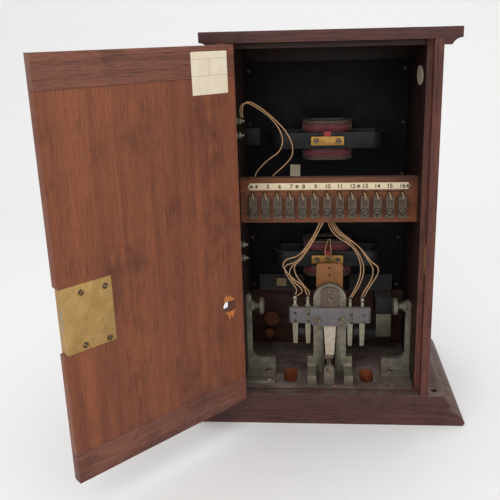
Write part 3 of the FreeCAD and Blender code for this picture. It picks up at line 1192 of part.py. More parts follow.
# Side brackets.
def make_bracket(name, sign):
    """Bracket with a flared foot, standing on the floor beside the case's side."""
    body = new_body(name)
    outer = f"({INNER} - fit_gap)"
    foot_top = f"({FLOOR} + bracket_foot_rise)"
    inner = f"({outer} - bracket_arm)"
    toe = f"({outer} - bracket_foot)"
    high = "left_bracket_top" if sign < 0 else "right_bracket_top"
    rear = "left_foot_rear" if sign < 0 else "right_foot_rear"
    shoulder = f"({foot_top} + bracket_web)"
    outline = [(outer, FLOOR), (outer, f"{high} - 3"), (f"{outer} - 3", high, "3", 1),
               (inner, f"{high} - 3.4", "3.4", 1), (inner, f"{shoulder} + 10"),
               (f"{inner} - 10", shoulder, "10", -1), (f"{toe} + 3", shoulder),
               (toe, f"{shoulder} - 3", "3", 1), (toe, FLOOR)]
    if sign < 0:
        outline = [(f"-({corner[0]})", corner[1]) + tuple(
            (corner[2], -corner[3]) if len(corner) == 4 else ()) for corner in outline]
    pad(body, "XZ", [outline], "bracket_y", "bracket_thickness")
    near, far = (f"-{outer}", f"-{toe}") if sign < 0 else (toe, outer)
    pad(body, "XZ", [rectangle(near, FLOOR, far, f"{shoulder} - 3")], "bracket_y", "bracket_web_thickness")
    pad(body, "XY", [rectangle(near, rear, far, "bracket_y + 1")], FLOOR, "bracket_foot_rise")
    if sign < 0:
        seam = rectangle(f"{near} - 1", f"{rear} + 11.5", f"{far} + 1", f"{rear} + 12.1")
        pocket(body, "XY", [seam], f"{foot_top} - 0.8", "2")
    pocket(body, "YZ", [("bracket_y + bracket_thickness/2", "stop_screw_z", "stop_shank_radius")],
           f"{sign}*{outer} - 10", "20")
    export(body, name)


def make_stop_screws():
    """Disc-headed stop screws with their cones, one in each bracket."""
    pair = []
    for name, sign in (("left", -1), ("right", 1)):
        body = new_body(f"{name}_stop_screw")
        face = f"({INNER} - fit_gap - bracket_arm)"
        neck = f"({face} - stop_cone_length)"
        disc = f"({neck} - stop_disc_thickness - 1.4)"
        outline = [(disc, "0"), (disc, "stop_disc_radius - 1"), (f"{disc} + 1", "stop_disc_radius"),
                   (f"{neck} - 1.4", "stop_disc_radius"), (f"{neck} - 1.4", "stop_shank_radius + 1.2"),
                   (f"{neck} + 3.5", "stop_shank_radius + 1.2"), (f"{face} - 1.6", "stop_cone_radius"),
                   (face, "stop_cone_radius"), (face, "stop_shank_radius"),
                   (f"{INNER} - fit_gap", "stop_shank_radius"), (f"{INNER} - fit_gap", "0")]
        turned(body, "XY", [(f"{sign}*({x})", y) for x, y in outline], "H_Axis")
        pair.append(put(body, ("0", "bracket_y + bracket_thickness/2", "stop_screw_z")))
    export(group("stop_screws", *pair), "stop_screws")


# Bell key.
def make_bell_key():
    """Key block, hanging blade, back contact bar and plunger."""
    left = "(key_x - key_width/2)"
    block_body = new_body("key_block")
    pad(block_body, "XZ", [rectangle(left, "key_block_low", "key_x + key_width/2", "key_block_high")],
        "key_rear", "panel_y - key_rear")
    export(block_body, "key_block")

    blade = new_body("contact_blade")
    edge = "(blade_width/2)"
    pad(blade, "XZ", [[(f"-{edge}", "blade_low"), (edge, "blade_low"), (edge, "key_block_low - fit_gap"),
                       (f"-{edge}", "key_block_low - fit_gap")]], "blade_y", "blade_thickness")
    export(put(blade, ("key_x", "0", "0")), "contact_blade")

    anvil_y = "(blade_y + blade_thickness + 1.8)"
    bar = block("anvil_bar", ("anvil_left", anvil_y, "anvil_low"),
                ("key_x + blade_width/2 - anvil_left", "anvil_thickness", "anvil_height"))
    post = block("anvil_post", ("anvil_left", f"{anvil_y} + anvil_thickness", "anvil_low"),
                 ("9", f"panel_y - {anvil_y} - anvil_thickness", "anvil_height"))
    stud = rod("anvil_stud", ("key_x + 3", "blade_y + blade_thickness + fit_gap", "anvil_low + 5"), "y",
               "2.4", "1.8")
    export(fuse("back_contact", bar, post, stud), "back_contact")

    rod_start = "(blade_y + blade_thickness + fit_gap)"
    button = "(body_depth + bush_thickness + plunger_travel + 1)"
    body = new_body("plunger")
    turned(body, "XY", [("0", rod_start), ("plunger_radius - 2.2", rod_start),
                        ("plunger_radius", f"{rod_start} + 2.2", "2.2", 1), ("plunger_radius", button),
                        ("button_radius", button), ("button_radius", f"{button} + 3"),
                        ("button_radius - 2.5", f"{button} + 6", "4", 1), ("0", f"{button} + 6.6")],
           "V_Axis")
    export(put(body, ("key_x", "0", "plunger_z")), "plunger")


# Door, drawn closed with its hinge pin on the Z axis, then swung open.
BOLT_MIDDLE = "(door_thickness - lock_plate_thickness - lock_case_thickness/2)"
DOOR_BOLT = f"(knuckle_radius + fit_gap + {BOLT_MIDDLE})"
LOCK_FACE = f"({DOOR_FAR} - lock_inset)"


def swing(piece):
    """Stand a door piece at the open angle."""
    return put(piece, (PIN_X, f"-{PIN_OUT}", "0"), Rotation(Vector(0, 0, -1), size("door_open_angle")))


def make_door():
    """Door panel with clamped ends, let in for lock and hinges."""
    clamp_low, clamp_high = f"({DOOR_LOW} + door_clamp_width)", f"({DOOR_HIGH} - door_clamp_width)"
    panel = new_body("door_panel")
    pad(panel, "XZ", [rectangle(DOOR_NEAR, clamp_low, DOOR_FAR, clamp_high),
                      ("door_hole_u", "door_hole_z", "door_hole_radius")], DOOR_OUT, "door_thickness")
    notch = rectangle(LOCK_FACE, "lock_low", f"{DOOR_FAR} + 1", "lock_low + lock_height")
    pocket(panel, "XZ", [notch], f"{DOOR_OUT} - 1", "door_thickness + 2")
    plate = rectangle(f"{LOCK_FACE} - lock_plate_width", "lock_low", f"{LOCK_FACE} + 1",
                      "lock_low + lock_height")
    pocket(panel, "XZ", [plate], f"{DOOR_IN} - lock_plate_thickness", "lock_plate_thickness + 1")
    well = rectangle(f"{LOCK_FACE} - lock_plate_width + 4", "lock_low + 4", f"{LOCK_FACE} + 1",
                     "lock_low + lock_height - 4")
    pocket(panel, "XZ", [well], f"{DOOR_IN} - lock_plate_thickness - lock_case_thickness",
           "lock_case_thickness + 1")
    for low in ("hinge_low_z", "hinge_high_z"):
        pocket(panel, "XY", [rectangle(f"{DOOR_NEAR} - 1", f"{DOOR_OUT} - 1",
                                       f"{DOOR_NEAR} + hinge_leaf", f"{DOOR_IN} - 1")],
               low, "hinge_height")
    export(swing(panel), "door_panel")

    ends = new_body("door_clamp")
    pad(ends, "XZ", [rectangle(DOOR_NEAR, "0", DOOR_FAR, "door_clamp_width")], DOOR_OUT, "door_thickness")
    pair = copies("door_clamps", ends.Shape, [("0", "0", DOOR_LOW), ("0", "0", clamp_high)])
    pair.Placement = Placement(at(PIN_X, f"-{PIN_OUT}", "0"),
                               Rotation(Vector(0, 0, -1), size("door_open_angle")))
    export(pair, "door_clamps")


def make_lock():
    """Cut lock: cap plate, forend and case round the bolt's slot, with its sliding bolt."""
    body = new_body("lock_case")
    left = f"({LOCK_FACE} - lock_plate_width)"
    high = "(lock_low + lock_height)"
    inside = f"{LOCK_FACE} + 0.3"
    pad(body, "XZ", [rectangle(left, "lock_low", inside, high)], f"{DOOR_IN} - lock_plate_thickness",
        "lock_plate_thickness")
    pad(body, "XZ", [rectangle(f"{left} + 4.3", "lock_low + 4.3", inside, f"{high} - 4.3")],
        f"{DOOR_IN} - lock_plate_thickness - lock_case_thickness + fit_gap",
        "lock_case_thickness - fit_gap + 0.2")
    pad(body, "XZ", [rectangle(LOCK_FACE, "lock_low", f"{LOCK_FACE} + lock_plate_thickness", high)], f"{DOOR_OUT}", "door_thickness")
    middle = "(lock_low + lock_height/2)"
    pocket(body, "XZ", [rectangle(f"{LOCK_FACE} - bolt_length - 1", f"{middle} - bolt_height/2 - running_gap",
                                  f"{LOCK_FACE} + lock_plate_thickness + 1",
                                  f"{middle} + bolt_height/2 + running_gap")],
           f"{DOOR_BOLT} - bolt_thickness/2 - running_gap", "bolt_thickness + 2*running_gap")
    export(swing(body), "lock_case")

    bolt = new_body("lock_bolt")
    pad(bolt, "XZ", [rectangle(f"{LOCK_FACE} + lock_plate_thickness - bolt_length",
                               f"{middle} - bolt_height/2", f"{LOCK_FACE} + lock_plate_thickness",
                               f"{middle} + bolt_height/2")],
        f"{DOOR_BOLT} - bolt_thickness/2", "bolt_thickness")
    export(swing(bolt), "lock_bolt")

    strike = new_body("strike_plate")
    wall = f"({HALF} - {STRIP})"
    pad(strike, "YZ", [rectangle(f"{BOLT_MIDDLE} - bolt_thickness/2 - 3", f"{middle} - bolt_height/2 - 7",
                                 f"{BOLT_MIDDLE} + bolt_thickness/2 + 3", f"{middle} + bolt_height/2 + 7"),
                       rectangle(f"{BOLT_MIDDLE} - bolt_thickness/2 - 0.5",
                                 f"{middle} - bolt_height/2 - 0.5",
                                 f"{BOLT_MIDDLE} + bolt_thickness/2 + 0.5",
                                 f"{middle} + bolt_height/2 + 0.5")], wall, "1.5")
    export(strike, "strike_plate")


def make_hinges():
    """Two butt hinges: case leaves with their pins, and door leaves."""
    case_parts, door_parts = [], []
    third = "(hinge_height/3)"
    for name, low in (("lower", "hinge_low_z"), ("upper", "hinge_high_z")):
        leaf = block(f"{name}_case_leaf", (f"-{HALF} + {STRIP} - hinge_leaf", f"-{PIN_OUT}", low),
                     ("hinge_leaf", f"{PIN_OUT} + door_thickness - 1", "hinge_height"))
        gap = block(f"{name}_case_gap", (f"-{HALF} + {STRIP} - hinge_leaf - 1", f"-{PIN_OUT} - 1",
                                         f"{low} + {third} - fit_gap"),
                    ("hinge_leaf + 2", f"1 + 2*{PIN_OUT}", f"{third} + 2*fit_gap"))
        knuckles = [rod(f"{name}_case_knuckle_{index}", (PIN_X, f"-{PIN_OUT}", f"{low} + {step}*{third}"),
                        "z", "knuckle_radius", f"{third} - fit_gap*{1 - step/2}")
                    for index, step in enumerate((0, 2))]
        pin = rod(f"{name}_hinge_pin", (PIN_X, f"-{PIN_OUT}", f"{low} - 1"), "z", "hinge_pin_radius",
                  "hinge_height + 2")
        slim = cut(f"{name}_case_leaf_cut", leaf, gap)
        case_parts.append(fuse(f"{name}_case_hinge", slim, *knuckles, pin))
        door_leaf = block(f"{name}_door_leaf", (DOOR_NEAR, "0", low),
                          ("hinge_leaf", f"{DOOR_IN} - 1", "hinge_height"))
        door_knuckle = rod(f"{name}_door_knuckle", ("0", "0", f"{low} + {third}"), "z",
                           "knuckle_radius", third)
        notches = [block(f"{name}_door_gap_{index}", (f"{DOOR_NEAR} - 1", "-1", f"{low} + {step}*{third} - 1"),
                         ("hinge_leaf + 2", f"{PIN_OUT} + 1 - 0.1", f"{third} + 1 + fit_gap"))
                   for index, step in enumerate((0, 2))]
        notches[1].setExpression("Placement.Base.z", bound(f"{low} + 2*{third} - fit_gap"))
        bore = rod(f"{name}_bore", ("0", "0", f"{low} - 2"), "z", "hinge_pin_radius + running_gap",
                   "hinge_height + 4")
        joined = fuse(f"{name}_door_leaf_knuckle", door_leaf, door_knuckle)
        door_parts.append(cut(f"{name}_door_hinge", joined, *notches, bore))
    export(group("hinge_case_leaves", *case_parts), "hinge_case_leaves")
    export(swing(group("hinge_door_leaves", *door_parts)), "hinge_door_leaves")


def make_wall_terminals():
    """Nickel terminals on the left side."""
    body = new_body("wall_terminal")
    turned(body, "XY", [("0", "0"), ("0", "4.2"), ("1.6", "4.2"), ("1.6", "2.2"), ("3", "2.2"), ("3", "3.6"),
                        ("5.4", "3.6"), ("5.4", "1.5"), ("8.5", "1.5"), ("9", "1"), ("9", "0")], "H_Axis")
    spots = [(f"-{INNER}", y, z) for y, z in ((25, 362), (18.5, 347), (18.5, 221), (18.5, 205))]
    export(copies("wall_terminals", body.Shape, spots), "wall_terminals")


def write_parts():
    """Check every object and write the sub-parts."""
    doc.recompute()
    failed = [o.Name for o in doc.Objects if {"Invalid", "Error"} & set(o.State)]
    if failed:
        raise RuntimeError(f"failed objects: {failed}")
    os.makedirs("parts", exist_ok=True)
    for piece in nodes:
        shape = piece.Shape
        if shape.isNull() or not shape.isValid() or not shape.Solids:
            raise RuntimeError(f"{piece.Label}: no valid solid")
        shape.exportStep(f"parts/{piece.Label}.step")
    print(len(nodes), "sub-parts written")


make_base()
make_floor()
make_side("left_side", -1)
make_side("right_side", 1)
make_cornice()
make_case_boards()
make_panel_screws()
make_front()
make_magnets()
make_bobbins()
make_windings()
make_bearing_bars()
make_needle("upper", "upper_axis_z")
make_needle("lower", LOWER_AXIS)
make_terminals()
make_terminal_tails()
make_leads()
make_commutator_frame()
make_frame_fittings()
make_friction_leaf()
make_shaft()
make_frame_screws()
make_bracket("left_bracket", -1)
make_bracket("right_bracket", 1)
make_stop_screws()
make_bell_key()
make_door()
make_lock()
make_hinges()
make_wall_terminals()
write_parts()
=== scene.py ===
"""Railway block instrument, seen from behind with its door open: finishes, fittings and stage.

Metres, +Z up. The origin is the middle of the base's underside, and -Y is the rear with the door.
Places inside the case are written in millimetres from the plane of its rear edges, as `case_point`
takes them.
"""

import json
import logging
import math
from collections.abc import Callable, Iterable, Sequence
from dataclasses import dataclass
from enum import Enum

import bmesh
import bpy
from mathutils import Matrix, Vector

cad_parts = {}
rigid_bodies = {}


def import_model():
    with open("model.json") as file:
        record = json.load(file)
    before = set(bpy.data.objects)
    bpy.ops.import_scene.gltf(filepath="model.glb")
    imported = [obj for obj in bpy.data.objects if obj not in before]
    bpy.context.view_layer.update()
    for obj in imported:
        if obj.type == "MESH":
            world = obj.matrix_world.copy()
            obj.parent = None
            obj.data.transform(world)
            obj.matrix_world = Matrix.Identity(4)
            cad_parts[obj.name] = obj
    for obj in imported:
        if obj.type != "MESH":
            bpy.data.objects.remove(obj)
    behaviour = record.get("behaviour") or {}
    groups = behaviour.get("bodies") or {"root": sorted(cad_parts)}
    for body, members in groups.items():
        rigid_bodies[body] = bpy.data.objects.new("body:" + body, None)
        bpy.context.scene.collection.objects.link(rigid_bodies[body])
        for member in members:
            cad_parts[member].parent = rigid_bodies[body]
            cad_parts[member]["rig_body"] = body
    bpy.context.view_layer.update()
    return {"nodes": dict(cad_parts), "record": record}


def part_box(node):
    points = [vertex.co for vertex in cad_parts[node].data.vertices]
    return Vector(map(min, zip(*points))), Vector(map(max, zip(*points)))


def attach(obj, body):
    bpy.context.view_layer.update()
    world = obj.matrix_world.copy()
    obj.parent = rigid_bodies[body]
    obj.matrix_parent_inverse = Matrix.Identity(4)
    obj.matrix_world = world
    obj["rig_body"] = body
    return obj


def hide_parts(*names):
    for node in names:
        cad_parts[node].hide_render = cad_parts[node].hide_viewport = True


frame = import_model()
log = logging.getLogger("block_instrument")

SLOT_OF = {part["node"]: part["material_slot"] for part in frame["record"]["subparts"]}

REAR_PLANE = -104.0
UPPER_AXIS = 328.5
LOWER_AXIS = 178.5
DOOR_ANGLE = math.radians(133.5)
DOOR_PIN = (-106.3, -2.5)

Colour = tuple[float, float, float, float]
Point = tuple[float, float, float]
Link = bpy.types.NodeSocket


def srgb(red: int, green: int, blue: int) -> Colour:
    """Linear colour of a screen colour.

    Args:
        red: Red, 0 to 255.
        green: Green, 0 to 255.
        blue: Blue, 0 to 255.

    Returns:
        The linear colour with full alpha.
    """
    def linear(level: int) -> float:
        """Linear value of one channel."""
        part = level / 255.0
        return part / 12.92 if part <= 0.04045 else ((part + 0.055) / 1.055) ** 2.4
    return (linear(red), linear(green), linear(blue), 1.0)


def case_point(x: float, y: float, z: float) -> Vector:
    """Place in the scene of a point in case millimetres.

    Args:
        x: Millimetres to the right of the middle.
        y: Millimetres in from the rear edges.
        z: Millimetres above the table.

    Returns:
        The point in metres.
    """
    return Vector((x, y + REAR_PLANE, z)) / 1000.0


def door_point(along: float, out: float, z: float) -> Vector:
    """Place of a point on the open door.

    Args:
        along: Millimetres from the hinge pin towards the lock.
        out: Millimetres from the pin's plane towards the face that is seen from the rear.
        z: Millimetres above the table.

    Returns:
        The point in metres.
    """
    cos, sin = math.cos(DOOR_ANGLE), math.sin(DOOR_ANGLE)
    x = DOOR_PIN[0] + along * cos + out * sin
    y = DOOR_PIN[1] - along * sin + out * cos
    return case_point(x, y, z)


class Wiring:
    """Adds nodes to one shader or geometry tree and joins them."""

    def __init__(self, tree: bpy.types.NodeTree) -> None:
        """Keep the tree that is being wired.

        Args:
            tree: Tree that the nodes go into.
        """
        self.tree = tree

    def node(self, kind: str, inputs: dict | None = None, **settings: object) -> bpy.types.Node:
        """Add a node.

        Args:
            kind: Node type.
            inputs: Values or outputs for its inputs, by name or number.
            **settings: Properties of the node.

        Returns:
            The node.
        """
        made = self.tree.nodes.new(kind)
        for name, value in settings.items():
            setattr(made, name, value)
        for key, value in (inputs or {}).items():
            if isinstance(value, bpy.types.NodeSocket):
                self.tree.links.new(value, made.inputs[key])
            else:
                made.inputs[key].default_value = value
        return made

    def math(self, operation: str, first: Link | float, second: Link | float = 0.0) -> Link:
        """Join two values with an operation, kept between 0 and 1.

        Args:
            operation: Name of the operation.
            first: First value.
            second: Second value.

        Returns:
            The result.
        """
        return self.node("ShaderNodeMath", {0: first, 1: second}, operation=operation,
                         use_clamp=True).outputs[0]

    def spread(self, value: Link, low: float, high: float, new_low: float = 0.0,
               new_high: float = 1.0) -> Link:
        """Map a range of a value to a new range.

        Args:
            value: Value to map.
            low: Start of its range.
            high: End of its range.
            new_low: What the start becomes.
            new_high: What the end becomes.

        Returns:
            The mapped value.
        """
        return self.node("ShaderNodeMapRange", {0: value, 1: low, 2: high, 3: new_low,
                                                4: new_high}).outputs[0]

    def noise(self, vector: Link, scale: float | Link, detail: float = 3.0,
              roughness: float = 0.55, distortion: float = 0.0) -> Link:
        """Add a noise pattern.

        Args:
            vector: Coordinates.
            scale: Cells per unit.
            detail: Finer layers.
            roughness: Strength of the finer layers.
            distortion: Bending of the pattern.

        Returns:
            Its value.
        """
        return self.node("ShaderNodeTexNoise", {"Vector": vector, "Scale": scale, "Detail": detail,
                                                "Roughness": roughness,
                                                "Distortion": distortion}).outputs[0]

    def blend(self, factor: Link | float, first: Link | Colour, second: Link | Colour,
              mode: str = "MIX") -> Link:
        """Mix two colours.

        Args:
            factor: Share of the second.
            first: First colour.
            second: Second colour.
            mode: How they mix.

        Returns:
            The colour.
        """
        return self.node("ShaderNodeMix", {0: factor, 6: first, 7: second}, data_type="RGBA",
                         blend_type=mode).outputs[2]

    def placed(self, vector: Link, turn: Point = (0, 0, 0), stretch: Point = (1, 1, 1)) -> Link:
        """Turn and stretch coordinates.

        Args:
            vector: Coordinates.
            turn: Turn in radians.
            stretch: Scale along each axis, after the turn.

        Returns:
            The new coordinates.
        """
        turned = self.node("ShaderNodeMapping", {"Vector": vector, "Rotation": turn}).outputs[0]
        return self.node("ShaderNodeMapping", {"Vector": turned, "Scale": stretch}).outputs[0]


def new_group(name: str, inputs: dict[str, float | Colour | None],
              outputs: dict[str, str]) -> tuple[Wiring, bpy.types.Node, bpy.types.Node]:
    """Start a shader node group.

    Args:
        name: Name of the group.
        inputs: Input names and their values; a colour, a number, or None for coordinates.
        outputs: Output names and their socket types.

    Returns:
        Its wiring, and its input and output nodes.
    """
    tree = bpy.data.node_groups.new(name, "ShaderNodeTree")
    for label, value in inputs.items():
        kind = "NodeSocketVector" if value is None else (
            "NodeSocketColor" if isinstance(value, tuple) else "NodeSocketFloat")
        socket = tree.interface.new_socket(label, in_out="INPUT", socket_type=kind)
        if value is not None:
            socket.default_value = value
    for label, kind in outputs.items():
        tree.interface.new_socket(label, in_out="OUTPUT", socket_type=kind)
    wiring = Wiring(tree)
    return wiring, wiring.node("NodeGroupInput"), wiring.node("NodeGroupOutput")


class Effect:
    """Shader groups that several finishes share, each built once."""

    _built: dict[str, bpy.types.NodeTree] = {}

    @classmethod
    def place(cls, wiring: Wiring, maker: Callable[[], bpy.types.NodeTree],
              inputs: dict[str, object]) -> bpy.types.Node:
        """Put a shared group in a material.

        Args:
            wiring: Wiring of the material.
            maker: Function that builds the group.
            inputs: Its input values.

        Returns:
            The group node.
        """
        if maker.__name__ not in cls._built:
            cls._built[maker.__name__] = maker()
        node = wiring.node("ShaderNodeGroup", node_tree=cls._built[maker.__name__])
        for key, value in inputs.items():
            if isinstance(value, bpy.types.NodeSocket):
                wiring.tree.links.new(value, node.inputs[key])
            else:
                node.inputs[key].default_value = value
        return node


def wood_figure() -> bpy.types.NodeTree:
    """Build the figure of polished hardwood: broad bands, long streaks and dark pores.

    Returns:
        The group; its coordinates come stretched along the grain.
    """
    w, start, end = new_group("wood_figure", {
        "Vector": None, "Bands": 55.0, "Streaks": 420.0, "Light": (0.5, 0.2, 0.1, 1.0),
        "Middle": (0.3, 0.1, 0.05, 1.0), "Dark": (0.05, 0.02, 0.01, 1.0), "Pores": 0.6},
        {"Color": "NodeSocketColor", "Height": "NodeSocketFloat"})
    vector = start.outputs["Vector"]
    bands = w.noise(vector, start.outputs["Bands"], 4.0, 0.6, 0.9)
    streaks = w.noise(vector, start.outputs["Streaks"], 5.0, 0.62, 0.2)
    cells = w.noise(w.placed(vector, stretch=(3.1, 3.1, 3.1)), start.outputs["Streaks"], 2.0, 0.5)
    tone = w.blend(w.spread(bands, 0.34, 0.68), start.outputs["Middle"], start.outputs["Light"])
    deep = w.spread(streaks, 0.50, 0.30)
    tone = w.blend(w.math("MULTIPLY", deep, 0.75), tone, start.outputs["Dark"])
    pores = w.math("MULTIPLY", w.spread(cells, 0.42, 0.33), start.outputs["Pores"])
    tone = w.blend(pores, tone, start.outputs["Dark"])
    height = w.math("SUBTRACT", w.spread(streaks, 0.3, 0.6), pores)
    w.tree.links.new(tone, end.inputs["Color"])
    w.tree.links.new(height, end.inputs["Height"])
    return w.tree


def rubbed_edges() -> bpy.types.NodeTree:
    """Build the mask of corners that hands and tools have rubbed.

    Returns:
        The group.
    """
    w, start, end = new_group("rubbed_edges", {"Radius": 0.0012, "Amount": 0.6, "Patches": 90.0},
                              {"Mask": "NodeSocketFloat"})
    plain = w.node("ShaderNodeNewGeometry").outputs["Normal"]
    rounded = w.node("ShaderNodeBevel", {"Radius": start.outputs["Radius"]}, samples=4).outputs[0]
    facing = w.node("ShaderNodeVectorMath", {0: plain, 1: rounded}, operation="DOT_PRODUCT")
    edge = w.spread(facing.outputs["Value"], 0.985, 0.80)
    place = w.node("ShaderNodeTexCoord").outputs["Object"]
    patches = w.spread(w.noise(place, start.outputs["Patches"], 4.0, 0.65), 0.40, 0.62)
    mask = w.math("MULTIPLY", w.math("MULTIPLY", edge, patches), start.outputs["Amount"])
    w.tree.links.new(mask, end.inputs["Mask"])
    return w.tree


def settled_dust() -> bpy.types.NodeTree:
    """Build the mask of dust on faces that look up.

    Returns:
        The group.
    """
    w, start, end = new_group("settled_dust", {"Amount": 0.5, "Patches": 60.0},
                              {"Mask": "NodeSocketFloat"})
    normal = w.node("ShaderNodeNewGeometry").outputs["Normal"]
    up = w.node("ShaderNodeSeparateXYZ", {0: normal}).outputs["Z"]
    level = w.spread(up, 0.45, 0.95)
    place = w.node("ShaderNodeTexCoord").outputs["Object"]
    broad = w.spread(w.noise(place, start.outputs["Patches"], 5.0, 0.68), 0.36, 0.62, 0.25, 1.0)
    fine = w.spread(w.noise(place, 1900.0, 2.0, 0.6), 0.35, 0.6, 0.45, 1.0)
    mask = w.math("MULTIPLY", w.math("MULTIPLY", level, broad), fine)
    mask = w.math("MULTIPLY", mask, start.outputs["Amount"])
    w.tree.links.new(mask, end.inputs["Mask"])
    return w.tree


def tarnish_clouds() -> bpy.types.NodeTree:
    """Build the cloudy mask of tarnish and stains on metal, with small dark spots.

    Returns:
        The group.
    """
    w, start, end = new_group("tarnish_clouds", {"Vector": None, "Patches": 120.0, "Spots": 0.4},
                              {"Clouds": "NodeSocketFloat", "Spots": "NodeSocketFloat"})
    vector = start.outputs["Vector"]
    clouds = w.spread(w.noise(vector, start.outputs["Patches"], 6.0, 0.68, 0.4), 0.36, 0.66)
    grains = w.noise(vector, 900.0, 3.0, 0.6)
    spots = w.math("MULTIPLY", w.spread(grains, 0.60, 0.68), start.outputs["Spots"])
    w.tree.links.new(clouds, end.inputs["Clouds"])
    w.tree.links.new(spots, end.inputs["Spots"])
    return w.tree


def fine_lines() -> bpy.types.NodeTree:
    """Build the height of brushed or drawn lines; its coordinates come stretched along them.

    Returns:
        The group.
    """
    w, start, end = new_group("fine_lines", {"Vector": None, "Count": 900.0},
                              {"Height": "NodeSocketFloat", "Scratches": "NodeSocketFloat"})
    vector = start.outputs["Vector"]
    lines = w.noise(vector, start.outputs["Count"], 3.0, 0.7)
    stray = w.noise(w.placed(vector, (0.5, 0.7, 0.9)), 260.0, 2.0, 0.5, 0.3)
    w.tree.links.new(w.spread(lines, 0.3, 0.7), end.inputs["Height"])
    w.tree.links.new(w.spread(stray, 0.66, 0.72), end.inputs["Scratches"])
    return w.tree


class Grain(Enum):
    """Way that the wood's grain runs: turn about Z, then the stretch that draws it out."""

    UPRIGHT = (0.0, (1.0, 1.0, 0.045))
    ACROSS = (0.0, (0.045, 1.0, 1.0))
    DOOR_ACROSS = (DOOR_ANGLE, (0.045, 1.0, 1.0))
    DOOR_UPRIGHT = (DOOR_ANGLE, (1.0, 1.0, 0.038))


MATERIALS: dict[str, bpy.types.Material] = {}


@dataclass(frozen=True)
class Finish:
    """A surface finish; each builds its material once."""

    name: str

    def material(self) -> bpy.types.Material:
        """Return the finish's material.

        Returns:
            The material, built on the first call.
        """
        made = MATERIALS.get(self.name)
        if made is None:
            made = bpy.data.materials.new(f"{self.name}_finish")
            MATERIALS[self.name] = made
            made.use_nodes = True
            made.node_tree.nodes.clear()
            w = Wiring(made.node_tree)
            shader = w.node("ShaderNodeBsdfPrincipled")
            w.node("ShaderNodeOutputMaterial", {"Surface": shader.outputs[0]})
            self.wire(w, shader)
        return made

    def wire(self, w: Wiring, shader: bpy.types.Node) -> None:
        """Wire the finish into its shader.

        Args:
            w: Wiring of the material.
            shader: Its Principled shader.
        """
        raise NotImplementedError

    @staticmethod
    def place(w: Wiring) -> Link:
        """Return the object coordinates."""
        return w.node("ShaderNodeTexCoord").outputs["Object"]

    @staticmethod
    def worn(w: Wiring, tone: Link | Colour, colour: Colour, radius: float, amount: float,
             patches: float = 90.0) -> Link:
        """Show a colour along rubbed edges.

        Args:
            w: Wiring of the material.
            tone: Colour of the surface.
            colour: Colour of the rubbed edges.
            radius: Width of the edge in metres.
            amount: Strength.
            patches: Size of the patches.

        Returns:
            The colour.
        """
        mask = Effect.place(w, rubbed_edges, {"Radius": radius, "Amount": amount,
                                              "Patches": patches})
        return w.blend(mask.outputs["Mask"], tone, colour)

    @staticmethod
    def dusty(w: Wiring, tone: Link | Colour, colour: Colour, amount: float,
              patches: float = 60.0) -> tuple[Link, Link]:
        """Lay dust on faces that look up.

        Args:
            w: Wiring of the material.
            tone: Colour of the surface.
            colour: Colour of the dust.
            amount: Strength.
            patches: Size of the patches.

        Returns:
            The colour and the dust's mask.
        """
        mask = Effect.place(w, settled_dust, {"Amount": amount, "Patches": patches}).outputs["Mask"]
        return w.blend(mask, tone, colour), mask

    @staticmethod
    def raised(w: Wiring, shader: bpy.types.Node, height: Link, depth: float) -> None:
        """Raise the surface by a height pattern.

        Args:
            w: Wiring of the material.
            shader: Its Principled shader.
            height: Pattern from 0 to 1.
            depth: Depth in metres.
        """
        bump = w.node("ShaderNodeBump", {"Height": height, "Strength": 1.0, "Distance": depth})
        w.tree.links.new(bump.outputs[0], shader.inputs["Normal"])


DUST = srgb(150, 138, 128)


@dataclass(frozen=True)
class WoodFinish(Finish):
    """Old polished hardwood with grain, rubbed edges and dust."""

    light: Colour
    middle: Colour
    dark: Colour
    grain: Grain = Grain.UPRIGHT
    bands: float = 55.0
    streaks: float = 640.0
    pores: float = 0.55
    rough: float = 0.5
    polish: float = 0.06
    edge: Colour = srgb(122, 88, 72)
    edge_amount: float = 0.55
    dust: float = 0.25

    def wire(self, w: Wiring, shader: bpy.types.Node) -> None:
        """Wire the wood.

        Args:
            w: Wiring of the material.
            shader: Its Principled shader.
        """
        turn, stretch = self.grain.value
        vector = w.placed(self.place(w), (0.0, 0.0, turn), stretch)
        figure = Effect.place(w, wood_figure, {
            "Vector": vector, "Bands": self.bands, "Streaks": self.streaks, "Light": self.light,
            "Middle": self.middle, "Dark": self.dark, "Pores": self.pores})
        tone = self.worn(w, figure.outputs["Color"], self.edge, 0.0013, self.edge_amount, 70.0)
        stains = w.spread(w.noise(self.place(w), 21.0, 4.0, 0.6), 0.52, 0.70)
        tone = w.blend(w.math("MULTIPLY", stains, 0.5), tone, self.dark)
        tone, dust = self.dusty(w, tone, DUST, self.dust)
        w.tree.links.new(tone, shader.inputs["Base Color"])
        dull = w.spread(w.noise(self.place(w), 46.0, 5.0, 0.65), 0.3, 0.7, self.rough - 0.1,
                        self.rough + 0.16)
        rough = w.node("ShaderNodeMath", {0: dull, 1: w.math("MULTIPLY", dust, 0.4)},
                       operation="ADD").outputs[0]
        w.tree.links.new(rough, shader.inputs["Roughness"])
        shader.inputs["Specular IOR Level"].default_value = 0.22
        shader.inputs["Coat Weight"].default_value = self.polish
        shader.inputs["Coat Roughness"].default_value = 0.28
        self.raised(w, shader, figure.outputs["Height"], 0.00012)


